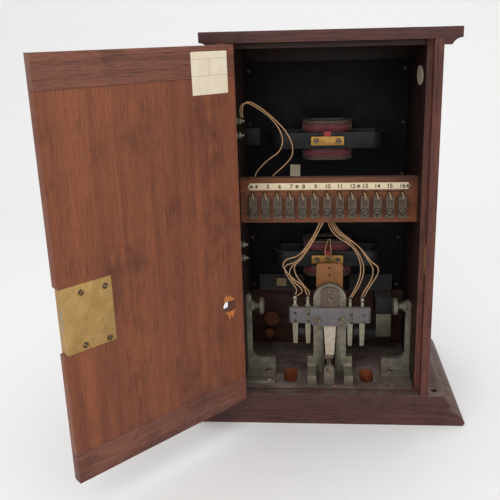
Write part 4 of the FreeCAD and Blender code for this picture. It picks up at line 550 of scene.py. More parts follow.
@dataclass(frozen=True)
class MetalFinish(Finish):
    """Metal with tarnish clouds, stains, brushed lines and bright rubbed edges."""

    bright: Colour
    tarnish: Colour
    spot: Colour = srgb(46, 34, 26)
    metallic: float = 0.9
    rough: float = 0.38
    patches: float = 120.0
    cover: float = 0.8
    spots: float = 0.5
    lines: Point = (1.0, 1.0, 0.06)
    turn: float = 0.0
    edge: Colour = srgb(214, 196, 160)
    edge_amount: float = 0.7
    dust: float = 0.15

    def wire(self, w: Wiring, shader: bpy.types.Node) -> None:
        """Wire the metal.

        Args:
            w: Wiring of the material.
            shader: Its Principled shader.
        """
        place = self.place(w)
        stain = Effect.place(w, tarnish_clouds, {"Vector": place, "Patches": self.patches,
                                                 "Spots": self.spots})
        lines = Effect.place(w, fine_lines, {
            "Vector": w.placed(place, (0.0, 0.0, self.turn), self.lines), "Count": 1100.0})
        cover = w.math("MULTIPLY", stain.outputs["Clouds"], self.cover)
        tone = w.blend(cover, self.bright, self.tarnish)
        tone = w.blend(w.math("MULTIPLY", lines.outputs["Height"], 0.28), tone, self.tarnish)
        tone = w.blend(w.math("MULTIPLY", lines.outputs["Scratches"], 0.35), tone, self.edge)
        tone = w.blend(stain.outputs["Spots"], tone, self.spot)
        tone = self.worn(w, tone, self.edge, 0.0005, self.edge_amount, 160.0)
        tone, _ = self.dusty(w, tone, DUST, self.dust, 90.0)
        w.tree.links.new(tone, shader.inputs["Base Color"])
        dull = w.spread(cover, 0.0, 1.0, self.rough, min(self.rough + 0.28, 0.9))
        w.tree.links.new(dull, shader.inputs["Roughness"])
        shader.inputs["Metallic"].default_value = self.metallic
        self.raised(w, shader, lines.outputs["Height"], 0.00003)


@dataclass(frozen=True)
class PaintFinish(Finish):
    """Paint, japan, ebonite, paper or fibre: one tone with mottling, specks and rubbed edges."""

    tone: Colour
    mottle: Colour
    patches: float = 60.0
    cover: float = 0.6
    speck: Colour = srgb(150, 140, 130)
    specks: float = 0.25
    rough: float = 0.5
    coat: float = 0.0
    shine: float = 0.3
    edge: Colour = srgb(120, 112, 104)
    edge_amount: float = 0.4
    dust: float = 0.3
    depth: float = 0.00006
    texture: float = 700.0

    def wire(self, w: Wiring, shader: bpy.types.Node) -> None:
        """Wire the paint.

        Args:
            w: Wiring of the material.
            shader: Its Principled shader.
        """
        place = self.place(w)
        clouds = w.spread(w.noise(place, self.patches, 5.0, 0.65, 0.3), 0.35, 0.68)
        tone = w.blend(w.math("MULTIPLY", clouds, self.cover), self.tone, self.mottle)
        grains = w.spread(w.noise(place, 620.0, 2.0, 0.5), 0.665, 0.70)
        tone = w.blend(w.math("MULTIPLY", grains, self.specks), tone, self.speck)
        tone = self.worn(w, tone, self.edge, 0.0006, self.edge_amount, 120.0)
        tone, _ = self.dusty(w, tone, DUST, self.dust)
        w.tree.links.new(tone, shader.inputs["Base Color"])
        dull = w.spread(w.noise(place, self.patches * 1.7, 4.0, 0.6), 0.3, 0.7, self.rough - 0.08,
                        self.rough + 0.12)
        w.tree.links.new(dull, shader.inputs["Roughness"])
        shader.inputs["Specular IOR Level"].default_value = self.shine
        shader.inputs["Coat Weight"].default_value = self.coat
        shader.inputs["Coat Roughness"].default_value = 0.2
        self.raised(w, shader, w.noise(place, self.texture, 4.0, 0.6), self.depth)


@dataclass(frozen=True)
class WovenFinish(Finish):
    """Cotton or silk covered wire, with the covering's turns round it."""

    tone: Colour
    shade: Colour
    turns: float = 1600.0
    rough: float = 0.75
    axis: Point = (1.0, 1.0, 1.0)

    def wire(self, w: Wiring, shader: bpy.types.Node) -> None:
        """Wire the covering.

        Args:
            w: Wiring of the material.
            shader: Its Principled shader.
        """
        place = self.place(w)
        thread = w.node("ShaderNodeTexWave", {"Vector": w.placed(place, stretch=self.axis),
                                              "Scale": self.turns / 6.0, "Distortion": 1.5,
                                              "Detail": 2.0, "Detail Scale": 4.0},
                        wave_type="BANDS", bands_direction="DIAGONAL").outputs[1]
        grime = w.spread(w.noise(place, 120.0, 5.0, 0.65), 0.38, 0.66)
        tone = w.blend(w.math("MULTIPLY", thread, 0.35), self.tone, self.shade)
        tone = w.blend(w.math("MULTIPLY", grime, 0.55), tone, self.shade)
        w.tree.links.new(tone, shader.inputs["Base Color"])
        w.tree.links.new(w.spread(grime, 0.0, 1.0, self.rough - 0.1, self.rough + 0.1),
                         shader.inputs["Roughness"])
        shader.inputs["Sheen Weight"].default_value = 0.25
        self.raised(w, shader, thread, 0.00008)


@dataclass(frozen=True)
class GlassFinish(Finish):
    """Old flat glass with a film of dust."""

    def wire(self, w: Wiring, shader: bpy.types.Node) -> None:
        """Wire the glass.

        Args:
            w: Wiring of the material.
            shader: Its Principled shader.
        """
        place = self.place(w)
        film = w.spread(w.noise(place, 45.0, 5.0, 0.7), 0.4, 0.75, 0.02, 0.16)
        w.tree.links.new(film, shader.inputs["Roughness"])
        shader.inputs["Base Color"].default_value = (0.93, 0.96, 0.95, 1.0)
        shader.inputs["Transmission Weight"].default_value = 1.0
        shader.inputs["IOR"].default_value = 1.5


class Looks:
    """The finishes of the instrument."""

    CASE = WoodFinish("case_upright", srgb(108, 62, 50), srgb(80, 46, 40), srgb(34, 21, 20))
    CASE_ACROSS = WoodFinish("case_across", srgb(92, 56, 50), srgb(68, 42, 40), srgb(32, 22, 22),
                             grain=Grain.ACROSS, dust=0.3)
    # Darker copy of the case wood for the case's inner faces: painted shade.
    CASE_INSIDE_PAINTED_SHADE = WoodFinish("case_inside_painted_shade", srgb(54, 34, 30), srgb(38, 25, 23), srgb(18, 13, 12),
                             rough=0.45, dust=0.1)
    # Darker copy of the case wood for the top rail: painted shade.
    RAIL_PAINTED_SHADE = WoodFinish("rail_wood_painted_shade", srgb(62, 40, 36), srgb(44, 29, 27), srgb(20, 14, 14),
                      grain=Grain.ACROSS, dust=0.1)
    BASE = WoodFinish("base_wood", srgb(96, 58, 54), srgb(70, 44, 42), srgb(32, 22, 22),
                      grain=Grain.ACROSS, dust=0.35, edge=srgb(140, 96, 76), edge_amount=0.9)
    FLOOR = WoodFinish("floor_wood", srgb(84, 60, 56), srgb(62, 45, 43), srgb(34, 25, 26),
                       grain=Grain.ACROSS, dust=0.55, rough=0.6, polish=0.0)
    BOARD = WoodFinish("board_wood", srgb(132, 78, 48), srgb(98, 56, 36), srgb(44, 26, 20),
                       grain=Grain.ACROSS, dust=0.35, streaks=760.0, edge=srgb(96, 66, 50))
    LOWER_BOARD = WoodFinish("lower_board_wood", srgb(74, 46, 36), srgb(52, 34, 28),
                             srgb(24, 17, 15), grain=Grain.ACROSS, rough=0.55, dust=0.1)
    DOOR = WoodFinish("door_wood", srgb(136, 78, 50), srgb(112, 61, 42), srgb(66, 34, 26),
                      grain=Grain.DOOR_UPRIGHT, bands=62.0, streaks=980.0, pores=0.5, rough=0.5,
                      polish=0.06, edge=srgb(60, 36, 30), edge_amount=0.7, dust=0.1)
    DOOR_ENDS = WoodFinish("door_end_wood", srgb(134, 84, 66), srgb(104, 62, 50),
                           srgb(46, 27, 24), grain=Grain.DOOR_ACROSS, bands=62.0, streaks=700.0,
                           rough=0.5, polish=0.06, edge=srgb(60, 36, 30), edge_amount=0.7,
                           dust=0.1)
    RAW_WOOD = WoodFinish("torn_wood", srgb(206, 132, 70), srgb(176, 100, 48), srgb(96, 50, 24),
                          rough=0.75, polish=0.0, dust=0.0, edge=srgb(220, 160, 100))
    PANEL = PaintFinish("black_panel", srgb(17, 15, 18), srgb(23, 21, 25), patches=35.0,
                        specks=0.06, rough=0.55, shine=0.12, edge=srgb(52, 48, 50),
                        edge_amount=0.5, dust=0.1)
    IRON = PaintFinish("black_iron", srgb(22, 21, 23), srgb(31, 30, 32), patches=90.0,
                       specks=0.15, rough=0.45, shine=0.3, edge=srgb(110, 105, 104),
                       edge_amount=0.7, dust=0.3)
    BLACK = PaintFinish("black_ebonite", srgb(32, 29, 30), srgb(46, 42, 41), patches=110.0,
                        specks=0.2, rough=0.5, edge=srgb(90, 84, 80), edge_amount=0.5)
    FIBRE = PaintFinish("grey_fibre", srgb(98, 82, 70), srgb(78, 64, 56), patches=120.0,
                        specks=0.3, rough=0.55, edge=srgb(140, 124, 108), edge_amount=0.5)
    EBONITE = PaintFinish("grey_ebonite", srgb(104, 98, 99), srgb(80, 75, 76), patches=90.0,
                          specks=0.35, speck=srgb(150, 144, 138), rough=0.5,
                          edge=srgb(160, 154, 150), edge_amount=0.6, dust=0.4)
    PHENOLIC = PaintFinish("phenolic_sheet", srgb(134, 86, 46), srgb(106, 66, 34), patches=60.0,
                           specks=0.1, rough=0.5, coat=0.05, edge=srgb(168, 122, 76),
                           edge_amount=0.6)
    IVORY = PaintFinish("ivory_strip", srgb(222, 204, 172), srgb(196, 174, 140), patches=130.0,
                        cover=0.4, specks=0.1, speck=srgb(120, 96, 66), rough=0.36,
                        edge=srgb(170, 140, 100), edge_amount=0.5, dust=0.05, depth=0.00002)
    PAPER = PaintFinish("aged_paper", srgb(226, 214, 190), srgb(206, 190, 160), patches=60.0,
                        cover=0.5, specks=0.1, speck=srgb(150, 124, 92), rough=0.85,
                        edge=srgb(150, 124, 96), edge_amount=0.6, dust=0.0)
    CARD = PaintFinish("dial_card", srgb(226, 220, 204), srgb(206, 198, 178), patches=40.0,
                       cover=0.4, specks=0.05, rough=0.7, edge_amount=0.0, dust=0.0)
    # Dark ink of the engraved numbers, also the near-black rims round the tails' holes: painted shade
    # of the holes.
    INK_AND_HOLE_SHADE = PaintFinish("engraved_ink_and_hole_shade", srgb(26, 21, 19), srgb(40, 32, 28), rough=0.7, specks=0.0,
                      edge_amount=0.0, dust=0.0)
    GUNK = PaintFinish("dark_flux", srgb(42, 33, 28), srgb(64, 50, 40), patches=400.0, rough=0.35,
                       specks=0.2, edge_amount=0.2)
    SOLDER = MetalFinish("solder", srgb(176, 168, 158), srgb(120, 112, 102), rough=0.26,
                         patches=300.0, spots=0.4)
    BRASS = MetalFinish("brass", srgb(196, 150, 84), srgb(138, 98, 52), rough=0.34,
                        edge=srgb(230, 192, 124), lines=(0.06, 1.0, 1.0))
    LOCK_BRASS = MetalFinish("lock_brass", srgb(186, 150, 92), srgb(150, 116, 66), rough=0.44,
                             metallic=0.6, patches=60.0, cover=0.6, edge=srgb(214, 178, 116),
                             spot=srgb(60, 42, 26))
    NICKEL = MetalFinish("worn_nickel", srgb(132, 128, 110), srgb(96, 86, 72), rough=0.45,
                         metallic=0.55, patches=110.0, edge=srgb(180, 172, 150),
                         spot=srgb(70, 52, 36))
    STEEL = MetalFinish("steel", srgb(176, 160, 140), srgb(132, 112, 92), rough=0.42,
                        metallic=0.6, patches=140.0, spot=srgb(104, 66, 40), spots=0.8)
    SCREW = MetalFinish("screw_metal", srgb(142, 128, 108), srgb(90, 74, 58), rough=0.4,
                        metallic=0.75, patches=260.0)
    DARK_SCREW = MetalFinish("dark_screw", srgb(92, 74, 56), srgb(52, 42, 34), rough=0.42,
                             metallic=0.7, patches=240.0, edge=srgb(176, 146, 98))
    TERMINAL = MetalFinish("terminal_nickel", srgb(98, 84, 70), srgb(74, 62, 50), rough=0.55,
                           metallic=0.35, patches=180.0, cover=0.7, edge=srgb(140, 124, 104),
                           spot=srgb(46, 36, 30), dust=0.35)
    LUG = MetalFinish("lug_metal", srgb(124, 118, 104), srgb(84, 76, 66), rough=0.5,
                      metallic=0.5, patches=120.0, dust=0.3, edge=srgb(186, 176, 156))
    WIRE = WovenFinish("covered_wire", srgb(196, 152, 104), srgb(126, 92, 62))
    TAIL = WovenFinish("tinned_tail", srgb(190, 160, 116), srgb(140, 110, 76))
    SILK = WovenFinish("crimson_silk", srgb(112, 28, 38), srgb(64, 16, 24), turns=3000.0,
                       axis=(0.1, 0.1, 1.0), rough=0.42)
    TAPE = WovenFinish("crimson_tape", srgb(104, 36, 44), srgb(70, 24, 30), rough=0.7)
    GLASS = GlassFinish("dial_glass")
    SIGNAL_RED = PaintFinish("signal_red", srgb(156, 44, 38), srgb(136, 36, 32), rough=0.7,
                             specks=0.0, edge_amount=0.0, dust=0.0)
    SIGNAL_GREEN = PaintFinish("signal_green", srgb(50, 104, 70), srgb(44, 88, 60), rough=0.7,
                               specks=0.0, edge_amount=0.0, dust=0.0)
    PLUG = WoodFinish("plug_wood", srgb(112, 66, 40), srgb(88, 50, 32), srgb(48, 28, 20),
                      grain=Grain.ACROSS, rough=0.6, polish=0.0, dust=0.0)
    CUT_WOOD = WoodFinish("cut_wood", srgb(168, 92, 54), srgb(128, 66, 40), srgb(64, 34, 24),
                          rough=0.7, polish=0.0, dust=0.0)
    RULES = PaintFinish("label_rules", srgb(150, 138, 122), srgb(170, 158, 140), rough=0.8,
                        specks=0.0, edge_amount=0.0, dust=0.0)
    TAN_PAPER = PaintFinish("tan_paper", srgb(150, 126, 96), srgb(128, 104, 76), rough=0.85,
                            edge_amount=0.2, dust=0.0)
    IVORY_PLATE = PaintFinish("ivory_plate", srgb(196, 184, 160), srgb(168, 154, 130),
                              rough=0.5, dust=0.0)
    RIBBED = PaintFinish("ribbed_fibre", srgb(66, 63, 64), srgb(48, 46, 47), rough=0.7,
                         specks=0.3, shine=0.15, dust=0.4)
    BOBBIN = PaintFinish("bobbin_flange", srgb(74, 64, 56), srgb(52, 45, 41), patches=120.0,
                         specks=0.3, rough=0.5, edge=srgb(190, 146, 84), edge_amount=0.95)
    DARK_BRASS = MetalFinish("bearing_brass", srgb(196, 152, 78), srgb(140, 104, 56), rough=0.36,
                             metallic=0.75, patches=160.0, cover=0.6, edge=srgb(226, 190, 120))
    RED_TAB = WovenFinish("red_tab", srgb(168, 52, 48), srgb(120, 34, 34), rough=0.7)
    RING = PaintFinish("clamp_ring", srgb(38, 34, 33), srgb(56, 50, 46), rough=0.5, specks=0.2,
                       edge_amount=0.3, dust=0.2)
    SPRING = MetalFinish("spring_metal", srgb(164, 160, 138), srgb(116, 108, 90), rough=0.42,
                         metallic=0.55, patches=200.0, cover=0.7)
    RIVET = MetalFinish("dark_rivet", srgb(70, 62, 56), srgb(44, 38, 34), rough=0.45,
                        metallic=0.5, patches=300.0)
    # Near-black sheet laid in each screw slot: painted shade in the slot.
    SLOT_PAINTED_SHADE = PaintFinish("screw_slot", srgb(16, 13, 12), srgb(24, 20, 18), rough=0.8, shine=0.1,
                       specks=0.0, edge_amount=0.0, dust=0.0)
    LEAF = MetalFinish("leaf_steel", srgb(196, 184, 168), srgb(160, 140, 120), rough=0.55,
                       metallic=0.3, patches=200.0, cover=0.6, spot=srgb(128, 84, 54), spots=0.95)
    STAGE = PaintFinish("pale_stage", srgb(236, 236, 236), srgb(238, 238, 238), rough=0.9,
                        specks=0.0, edge_amount=0.0, dust=0.0, depth=0.0)




# Making pieces.
def settle(piece: bpy.types.Object) -> None:
    """Turn a piece's modifiers into plain mesh.

    Args:
        piece: Piece to settle.
    """
    bpy.context.view_layer.update()
    shape = bpy.data.meshes.new_from_object(
        piece.evaluated_get(bpy.context.evaluated_depsgraph_get()))
    piece.modifiers.clear()
    piece.data = shape


def smooth(mesh: bpy.types.Mesh, degrees: float = 32.0) -> None:
    """Shade a mesh smoothly up to an angle.

    Args:
        mesh: Mesh to shade.
        degrees: Largest angle that stays smooth.
    """
    mesh.shade_smooth()
    mesh.set_sharp_from_angle(angle=math.radians(degrees))


def linked(name: str, data: bpy.types.ID) -> bpy.types.Object:
    """Make an object and put it in the scene.

    Args:
        name: Name of the object.
        data: Its mesh or curve.

    Returns:
        The object.
    """
    made = bpy.data.objects.new(name, data)
    bpy.context.scene.collection.objects.link(made)
    return made


def fitted(piece: bpy.types.Object, finish: Finish | None, body: str, slot: str,
           *replaced: str) -> bpy.types.Object:
    """Dress a piece, let it ride on its body and report it.

    Args:
        piece: The piece, finished and in place.
        finish: Its finish, or None where its faces have theirs.
        body: Body that it moves with.
        slot: Material slot of the record; not used.
        *replaced: CAD nodes that it stands for.

    Returns:
        The piece.
    """
    if finish is not None:
        piece.data.materials.clear()
        piece.data.materials.append(finish.material())
    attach(piece, body)
    if replaced:
        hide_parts(*replaced)
    log.info("made %s", piece.name)
    return piece


def mesh_of(name: str, *parts: bmesh.types.BMesh) -> bpy.types.Object:
    """Join shapes into one object.

    Args:
        name: Name of the object.
        *parts: Shapes, which are used up.

    Returns:
        The object.
    """
    mesh = bpy.data.meshes.new(name)
    whole = bmesh.new()
    for part in parts:
        part.to_mesh(mesh)
        whole.from_mesh(mesh)
        part.free()
    bmesh.ops.recalc_face_normals(whole, faces=whole.faces)
    whole.to_mesh(mesh)
    whole.free()
    smooth(mesh)
    return linked(name, mesh)


def prism(outline: Sequence[tuple[float, float]], start: float, end: float,
          place: Callable[[float, float, float], Vector], axis: str = "y") -> bmesh.types.BMesh:
    """Extrude an outline.

    Args:
        outline: Corners in millimetres; x and z for axis y, y and z for axis x, x and y for z.
        start: Start along the axis.
        end: End along the axis.
        place: Turns millimetres into a place.
        axis: Axis of the extrusion.

    Returns:
        The shape.
    """
    order = {"y": lambda a, b, t: (a, t, b), "x": lambda a, b, t: (t, a, b),
             "z": lambda a, b, t: (a, b, t)}[axis]
    shape = bmesh.new()
    rings = [[shape.verts.new(place(*order(a, b, level))) for a, b in outline]
             for level in (start, end)]
    count = len(outline)
    for index in range(count):
        shape.faces.new([rings[0][index], rings[0][(index + 1) % count],
                         rings[1][(index + 1) % count], rings[1][index]])
    shape.faces.new(rings[0])
    shape.faces.new(list(reversed(rings[1])))
    bmesh.ops.recalc_face_normals(shape, faces=shape.faces)
    return shape


def turned(profile: Sequence[tuple[float, float]], centre: Vector, direction: Vector,
           segments: int = 28) -> bmesh.types.BMesh:
    """Turn a profile about a direction.

    Args:
        profile: Radius and height in millimetres, from the axis outwards and back to it.
        centre: Foot of the axis.
        direction: Way that the height goes.
        segments: Steps round.

    Returns:
        The shape.
    """
    shape = bmesh.new()
    turn = direction.normalized().to_track_quat("Z", "Y").to_matrix()
    rings = []
    for radius, height in profile:
        if radius < 1e-6:
            rings.append([shape.verts.new(centre + turn @ Vector((0, 0, height / 1000)))])
            continue
        ring = []
        for step in range(segments):
            angle = 2 * math.pi * step / segments
            local = Vector((radius * math.cos(angle), radius * math.sin(angle), height)) / 1000
            ring.append(shape.verts.new(centre + turn @ local))
        rings.append(ring)
    for low, high in zip(rings, rings[1:]):
        for step in range(segments):
            following = (step + 1) % segments
            corners = [low[step % len(low)], low[following % len(low)],
                       high[following % len(high)], high[step % len(high)]]
            unique = list(dict.fromkeys(corners))
            if len(unique) > 2:
                shape.faces.new(unique)
    bmesh.ops.recalc_face_normals(shape, faces=shape.faces)
    return shape


def block(low: Point, high: Point, place: Callable[[float, float, float], Vector],
          rounding: float = 0.3) -> bmesh.types.BMesh:
    """Box with rounded edges.

    Args:
        low: Lowest corner in millimetres.
        high: Highest corner in millimetres.
        place: Turns millimetres into a place.
        rounding: Rounding in millimetres.

    Returns:
        The shape.
    """
    shape = prism([(low[0], low[2]), (high[0], low[2]), (high[0], high[2]), (low[0], high[2])],
                  low[1], high[1], place)
    if rounding > 0:
        bmesh.ops.bevel(shape, geom=list(shape.edges), offset=rounding / 1000, segments=2,
                        affect="EDGES", profile=0.5)
    return shape


def lump(centre: Vector, size: Vector, seed: float, roughness: float = 0.25) -> bmesh.types.BMesh:
    """Uneven rounded lump, as of solder or flux.

    Args:
        centre: Its middle.
        size: Half sizes in metres.
        seed: Number that sets its unevenness.
        roughness: How uneven it is.

    Returns:
        The shape.
    """
    shape = bmesh.new()
    bmesh.ops.create_icosphere(shape, subdivisions=3, radius=1.0)
    for vert in shape.verts:
        wave = math.sin(3.1 * vert.co.x + seed) + math.sin(2.7 * vert.co.y - 1.3 * seed)
        wave += math.sin(4.3 * vert.co.z + 0.7 * seed)
        scale = 1.0 + roughness * wave / 3.0
        vert.co = centre + Vector([c * s * scale for c, s in zip(vert.co, size)])
    return shape


def softened(node: str, rounding: float, finish: Finish, second: Finish | None = None,
             where: Callable[[Vector, Vector], bool] | None = None) -> bpy.types.Object:
    """Stand a round-edged copy of a CAD node in its place.

    Args:
        node: Name of the node.
        rounding: Rounding of its edges in millimetres.
        finish: Its finish.
        second: Finish of the faces that `where` picks.
        where: Tells from a face's centre and normal whether it is picked.

    Returns:
        The piece.
    """
    source = frame["nodes"][node]
    shape = bmesh.new()
    shape.from_mesh(source.data)
    bmesh.ops.remove_doubles(shape, verts=shape.verts, dist=2e-6)
    bmesh.ops.dissolve_limit(shape, angle_limit=math.radians(1.5), verts=shape.verts,
                             edges=shape.edges)
    mesh = bpy.data.meshes.new(f"{node}_dressed")
    shape.to_mesh(mesh)
    shape.free()
    piece = linked(f"{node}_dressed", mesh)
    bevel = piece.modifiers.new("rounding", "BEVEL")
    bevel.width = rounding / 1000
    bevel.segments = 2
    bevel.limit_method = "ANGLE"
    bevel.angle_limit = math.radians(35.0)
    settle(piece)
    smooth(piece.data)
    fitted(piece, finish, source["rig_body"], SLOT_OF[node], node)
    if second is not None:
        piece.data.materials.append(second.material())
        for face in piece.data.polygons:
            face.material_index = int(where(face.center, face.normal))
    return piece


def refinish(node: str, finish: Finish) -> None:
    """Give a CAD node that stays a better material.

    Args:
        node: Name of the node.
        finish: Its finish.
    """
    source = frame["nodes"][node]
    for slot in source.material_slots:
        slot.link = "OBJECT"
        slot.material = finish.material()


class Repeat:
    """Geometry Nodes trees for what repeats or follows a path."""

    @staticmethod
    def tree(name: str, inputs: dict[str, tuple[str, object]]) -> tuple[Wiring, bpy.types.Node]:
        """Start a tree with named inputs.

        Args:
            name: Name of the tree.
            inputs: Socket type and value of each input.

        Returns:
            Its wiring and its input node.
        """
        made = bpy.data.node_groups.new(name, "GeometryNodeTree")
        made.interface.new_socket("Geometry", in_out="INPUT", socket_type="NodeSocketGeometry")
        for label, (kind, value) in inputs.items():
            socket = made.interface.new_socket(label, in_out="INPUT", socket_type=kind)
            if value is not None:
                socket.default_value = value
        made.interface.new_socket("Geometry", in_out="OUTPUT", socket_type="NodeSocketGeometry")
        wiring = Wiring(made)
        return wiring, wiring.node("NodeGroupInput")

    @staticmethod
    def close(w: Wiring, start: bpy.types.Node, shape: Link) -> None:
        """End a tree in real, smooth, dressed geometry.

        Args:
            w: Wiring of the tree.
            start: Its input node.
            shape: Geometry to end with.
        """
        real = w.node("GeometryNodeRealizeInstances", {0: shape})
        dressed = w.node("GeometryNodeSetMaterial", {
            "Geometry": real.outputs[0], "Material": start.outputs["Finish"]})
        w.node("NodeGroupOutput", {0: dressed.outputs[0]})

    @staticmethod
    def apply(piece: bpy.types.Object, tree: bpy.types.NodeTree,
              values: dict[str, object]) -> bpy.types.Object:
        """Run a tree on a piece and settle the result.

        Args:
            piece: Piece whose geometry goes in.
            tree: The tree.
            values: Values of its inputs by name.

        Returns:
            A new piece with the result, under the same name.
        """
        modifier = piece.modifiers.new("repeat", "NODES")
        modifier.node_group = tree
        names = {item.name: item.identifier for item in tree.interface.items_tree
                 if item.item_type == "SOCKET" and item.in_out == "INPUT"}
        for label, value in values.items():
            modifier[names[label]] = value
        bpy.context.view_layer.update()
        shape = bpy.data.meshes.new_from_object(
            piece.evaluated_get(bpy.context.evaluated_depsgraph_get()))
        name = piece.name
        bpy.data.objects.remove(piece)
        shape.name = name
        smooth(shape)
        return linked(name, shape)

    _trees: dict[str, bpy.types.NodeTree] = {}

    @classmethod
    def shared(cls, maker: Callable[[], bpy.types.NodeTree]) -> bpy.types.NodeTree:
        """Return a tree that is built once.

        Args:
            maker: Function that builds it.

        Returns:
            The tree.
        """
        if maker.__name__ not in cls._trees:
            cls._trees[maker.__name__] = maker()
        return cls._trees[maker.__name__]


def slotted_heads() -> bpy.types.NodeTree:
    """Build the tree that puts a slotted screw head on each point.

    Returns:
        The tree; a point's `turn` aims the head and its `size` is the head's radius.
    """
    w, start = Repeat.tree("slotted_heads", {
        "Head Height": ("NodeSocketFloat", 0.42), "Crown": ("NodeSocketFloat", 0.84),
        "Slot Width": ("NodeSocketFloat", 0.24), "Slot Depth": ("NodeSocketFloat", 0.26),
        "Finish": ("NodeSocketMaterial", None), "Painted Slot Shade": ("NodeSocketMaterial", None)})
    head = w.node("GeometryNodeMeshCone", {"Vertices": 28, "Side Segments": 1,
                                           "Radius Top": start.outputs["Crown"],
                                           "Radius Bottom": 1.0,
                                           "Depth": start.outputs["Head Height"]})
    size = w.node("ShaderNodeCombineXYZ", {0: 2.6, 1: start.outputs["Slot Width"],
                                           2: start.outputs["Slot Depth"]})
    bar = w.node("GeometryNodeMeshCube", {"Size": size.outputs[0]})
    lift = w.node("ShaderNodeCombineXYZ", {2: start.outputs["Head Height"]})
    bar = w.node("GeometryNodeTransform", {"Geometry": bar.outputs[0],
                                           "Translation": lift.outputs[0]})
    cut = w.node("GeometryNodeMeshBoolean", {0: head.outputs[0]}, operation="DIFFERENCE",
                 solver="EXACT")
    w.tree.links.new(bar.outputs[0], cut.inputs[1])
    # A thin near-black sheet just above the slot's bottom takes the slot finish: painted shade in the
    # slot.
    size = w.node("ShaderNodeCombineXYZ", {0: 1.8, 1: start.outputs["Slot Width"], 2: 0.02})
    floor = w.node("GeometryNodeMeshCube", {"Size": size.outputs[0]})
    half = w.node("ShaderNodeMath", {0: start.outputs["Slot Depth"], 1: 0.42},
                  operation="MULTIPLY")
    low = w.node("ShaderNodeMath", {0: start.outputs["Head Height"], 1: half.outputs[0]},
                 operation="SUBTRACT")
    lift = w.node("ShaderNodeCombineXYZ", {2: low.outputs[0]})
    floor = w.node("GeometryNodeTransform", {"Geometry": floor.outputs[0],
                                             "Translation": lift.outputs[0]})
    marked = w.node("GeometryNodeStoreNamedAttribute", {
        "Geometry": floor.outputs[0], "Name": "painted_slot_shade"}, data_type="BOOLEAN", domain="FACE")
    marked.inputs["Value"].default_value = True
    both = w.node("GeometryNodeJoinGeometry")
    w.tree.links.new(cut.outputs[0], both.inputs[0])
    w.tree.links.new(marked.outputs[0], both.inputs[0])
    turn = w.node("GeometryNodeInputNamedAttribute", {"Name": "turn"}, data_type="FLOAT_VECTOR")
    aim = w.node("FunctionNodeEulerToRotation", {0: turn.outputs[0]})
    size = w.node("GeometryNodeInputNamedAttribute", {"Name": "size"}, data_type="FLOAT")
    spread = w.node("GeometryNodeInstanceOnPoints", {
        "Points": start.outputs["Geometry"], "Instance": both.outputs[0],
        "Rotation": aim.outputs[0], "Scale": size.outputs[0]})
    real = w.node("GeometryNodeRealizeInstances", {0: spread.outputs[0]})
    dressed = w.node("GeometryNodeSetMaterial", {
        "Geometry": real.outputs[0], "Material": start.outputs["Finish"]})
    slot = w.node("GeometryNodeInputNamedAttribute", {"Name": "painted_slot_shade"}, data_type="BOOLEAN")
    dark = w.node("GeometryNodeSetMaterial", {
        "Geometry": dressed.outputs[0], "Selection": slot.outputs[0],
        "Material": start.outputs["Painted Slot Shade"]})
    w.node("NodeGroupOutput", {0: dark.outputs[0]})
    return w.tree


def round_heads() -> bpy.types.NodeTree:
    """Build the tree that puts a domed rivet head on each point.

    Returns:
        The tree; a point's `turn` aims the head and its `size` is the head's radius.
    """
    w, start = Repeat.tree("round_heads", {"Dome": ("NodeSocketFloat", 0.45),
                                           "Finish": ("NodeSocketMaterial", None)})
    ball = w.node("GeometryNodeMeshUVSphere", {"Segments": 18, "Rings": 10, "Radius": 1.0})
    flat = w.node("ShaderNodeCombineXYZ", {0: 1.0, 1: 1.0, 2: start.outputs["Dome"]})
    ball = w.node("GeometryNodeTransform", {"Geometry": ball.outputs[0], "Scale": flat.outputs[0]})
    turn = w.node("GeometryNodeInputNamedAttribute", {"Name": "turn"}, data_type="FLOAT_VECTOR")
    aim = w.node("FunctionNodeEulerToRotation", {0: turn.outputs[0]})
    size = w.node("GeometryNodeInputNamedAttribute", {"Name": "size"}, data_type="FLOAT")
    spread = w.node("GeometryNodeInstanceOnPoints", {
        "Points": start.outputs["Geometry"], "Instance": ball.outputs[0],
        "Rotation": aim.outputs[0], "Scale": size.outputs[0]})
    Repeat.close(w, start, spread.outputs[0])
    return w.tree


def wound_wire() -> bpy.types.NodeTree:
    """Build the tree that lays wire along every turn of a path.

    Returns:
        The tree.
    """
    w, start = Repeat.tree("wound_wire", {"Wire Radius": ("NodeSocketFloat", 0.0005),
                                          "Sides": ("NodeSocketInt", 6),
                                          "Finish": ("NodeSocketMaterial", None)})
    ring = w.node("GeometryNodeCurvePrimitiveCircle", {
        "Resolution": start.outputs["Sides"], "Radius": start.outputs["Wire Radius"]})
    wire = w.node("GeometryNodeCurveToMesh", {"Curve": start.outputs["Geometry"],
                                              "Profile Curve": ring.outputs[0],
                                              "Fill Caps": True})
    Repeat.close(w, start, wire.outputs[0])
    return w.tree


@dataclass(frozen=True)
class Head:
    """One small fastener: place, way it faces, turn of its slot and radius."""

    place: Vector
    facing: Vector
    spin: float
    radius: float


REARWARD = Vector((0.0, -1.0, 0.0))
UPWARD = Vector((0.0, 0.0, 1.0))


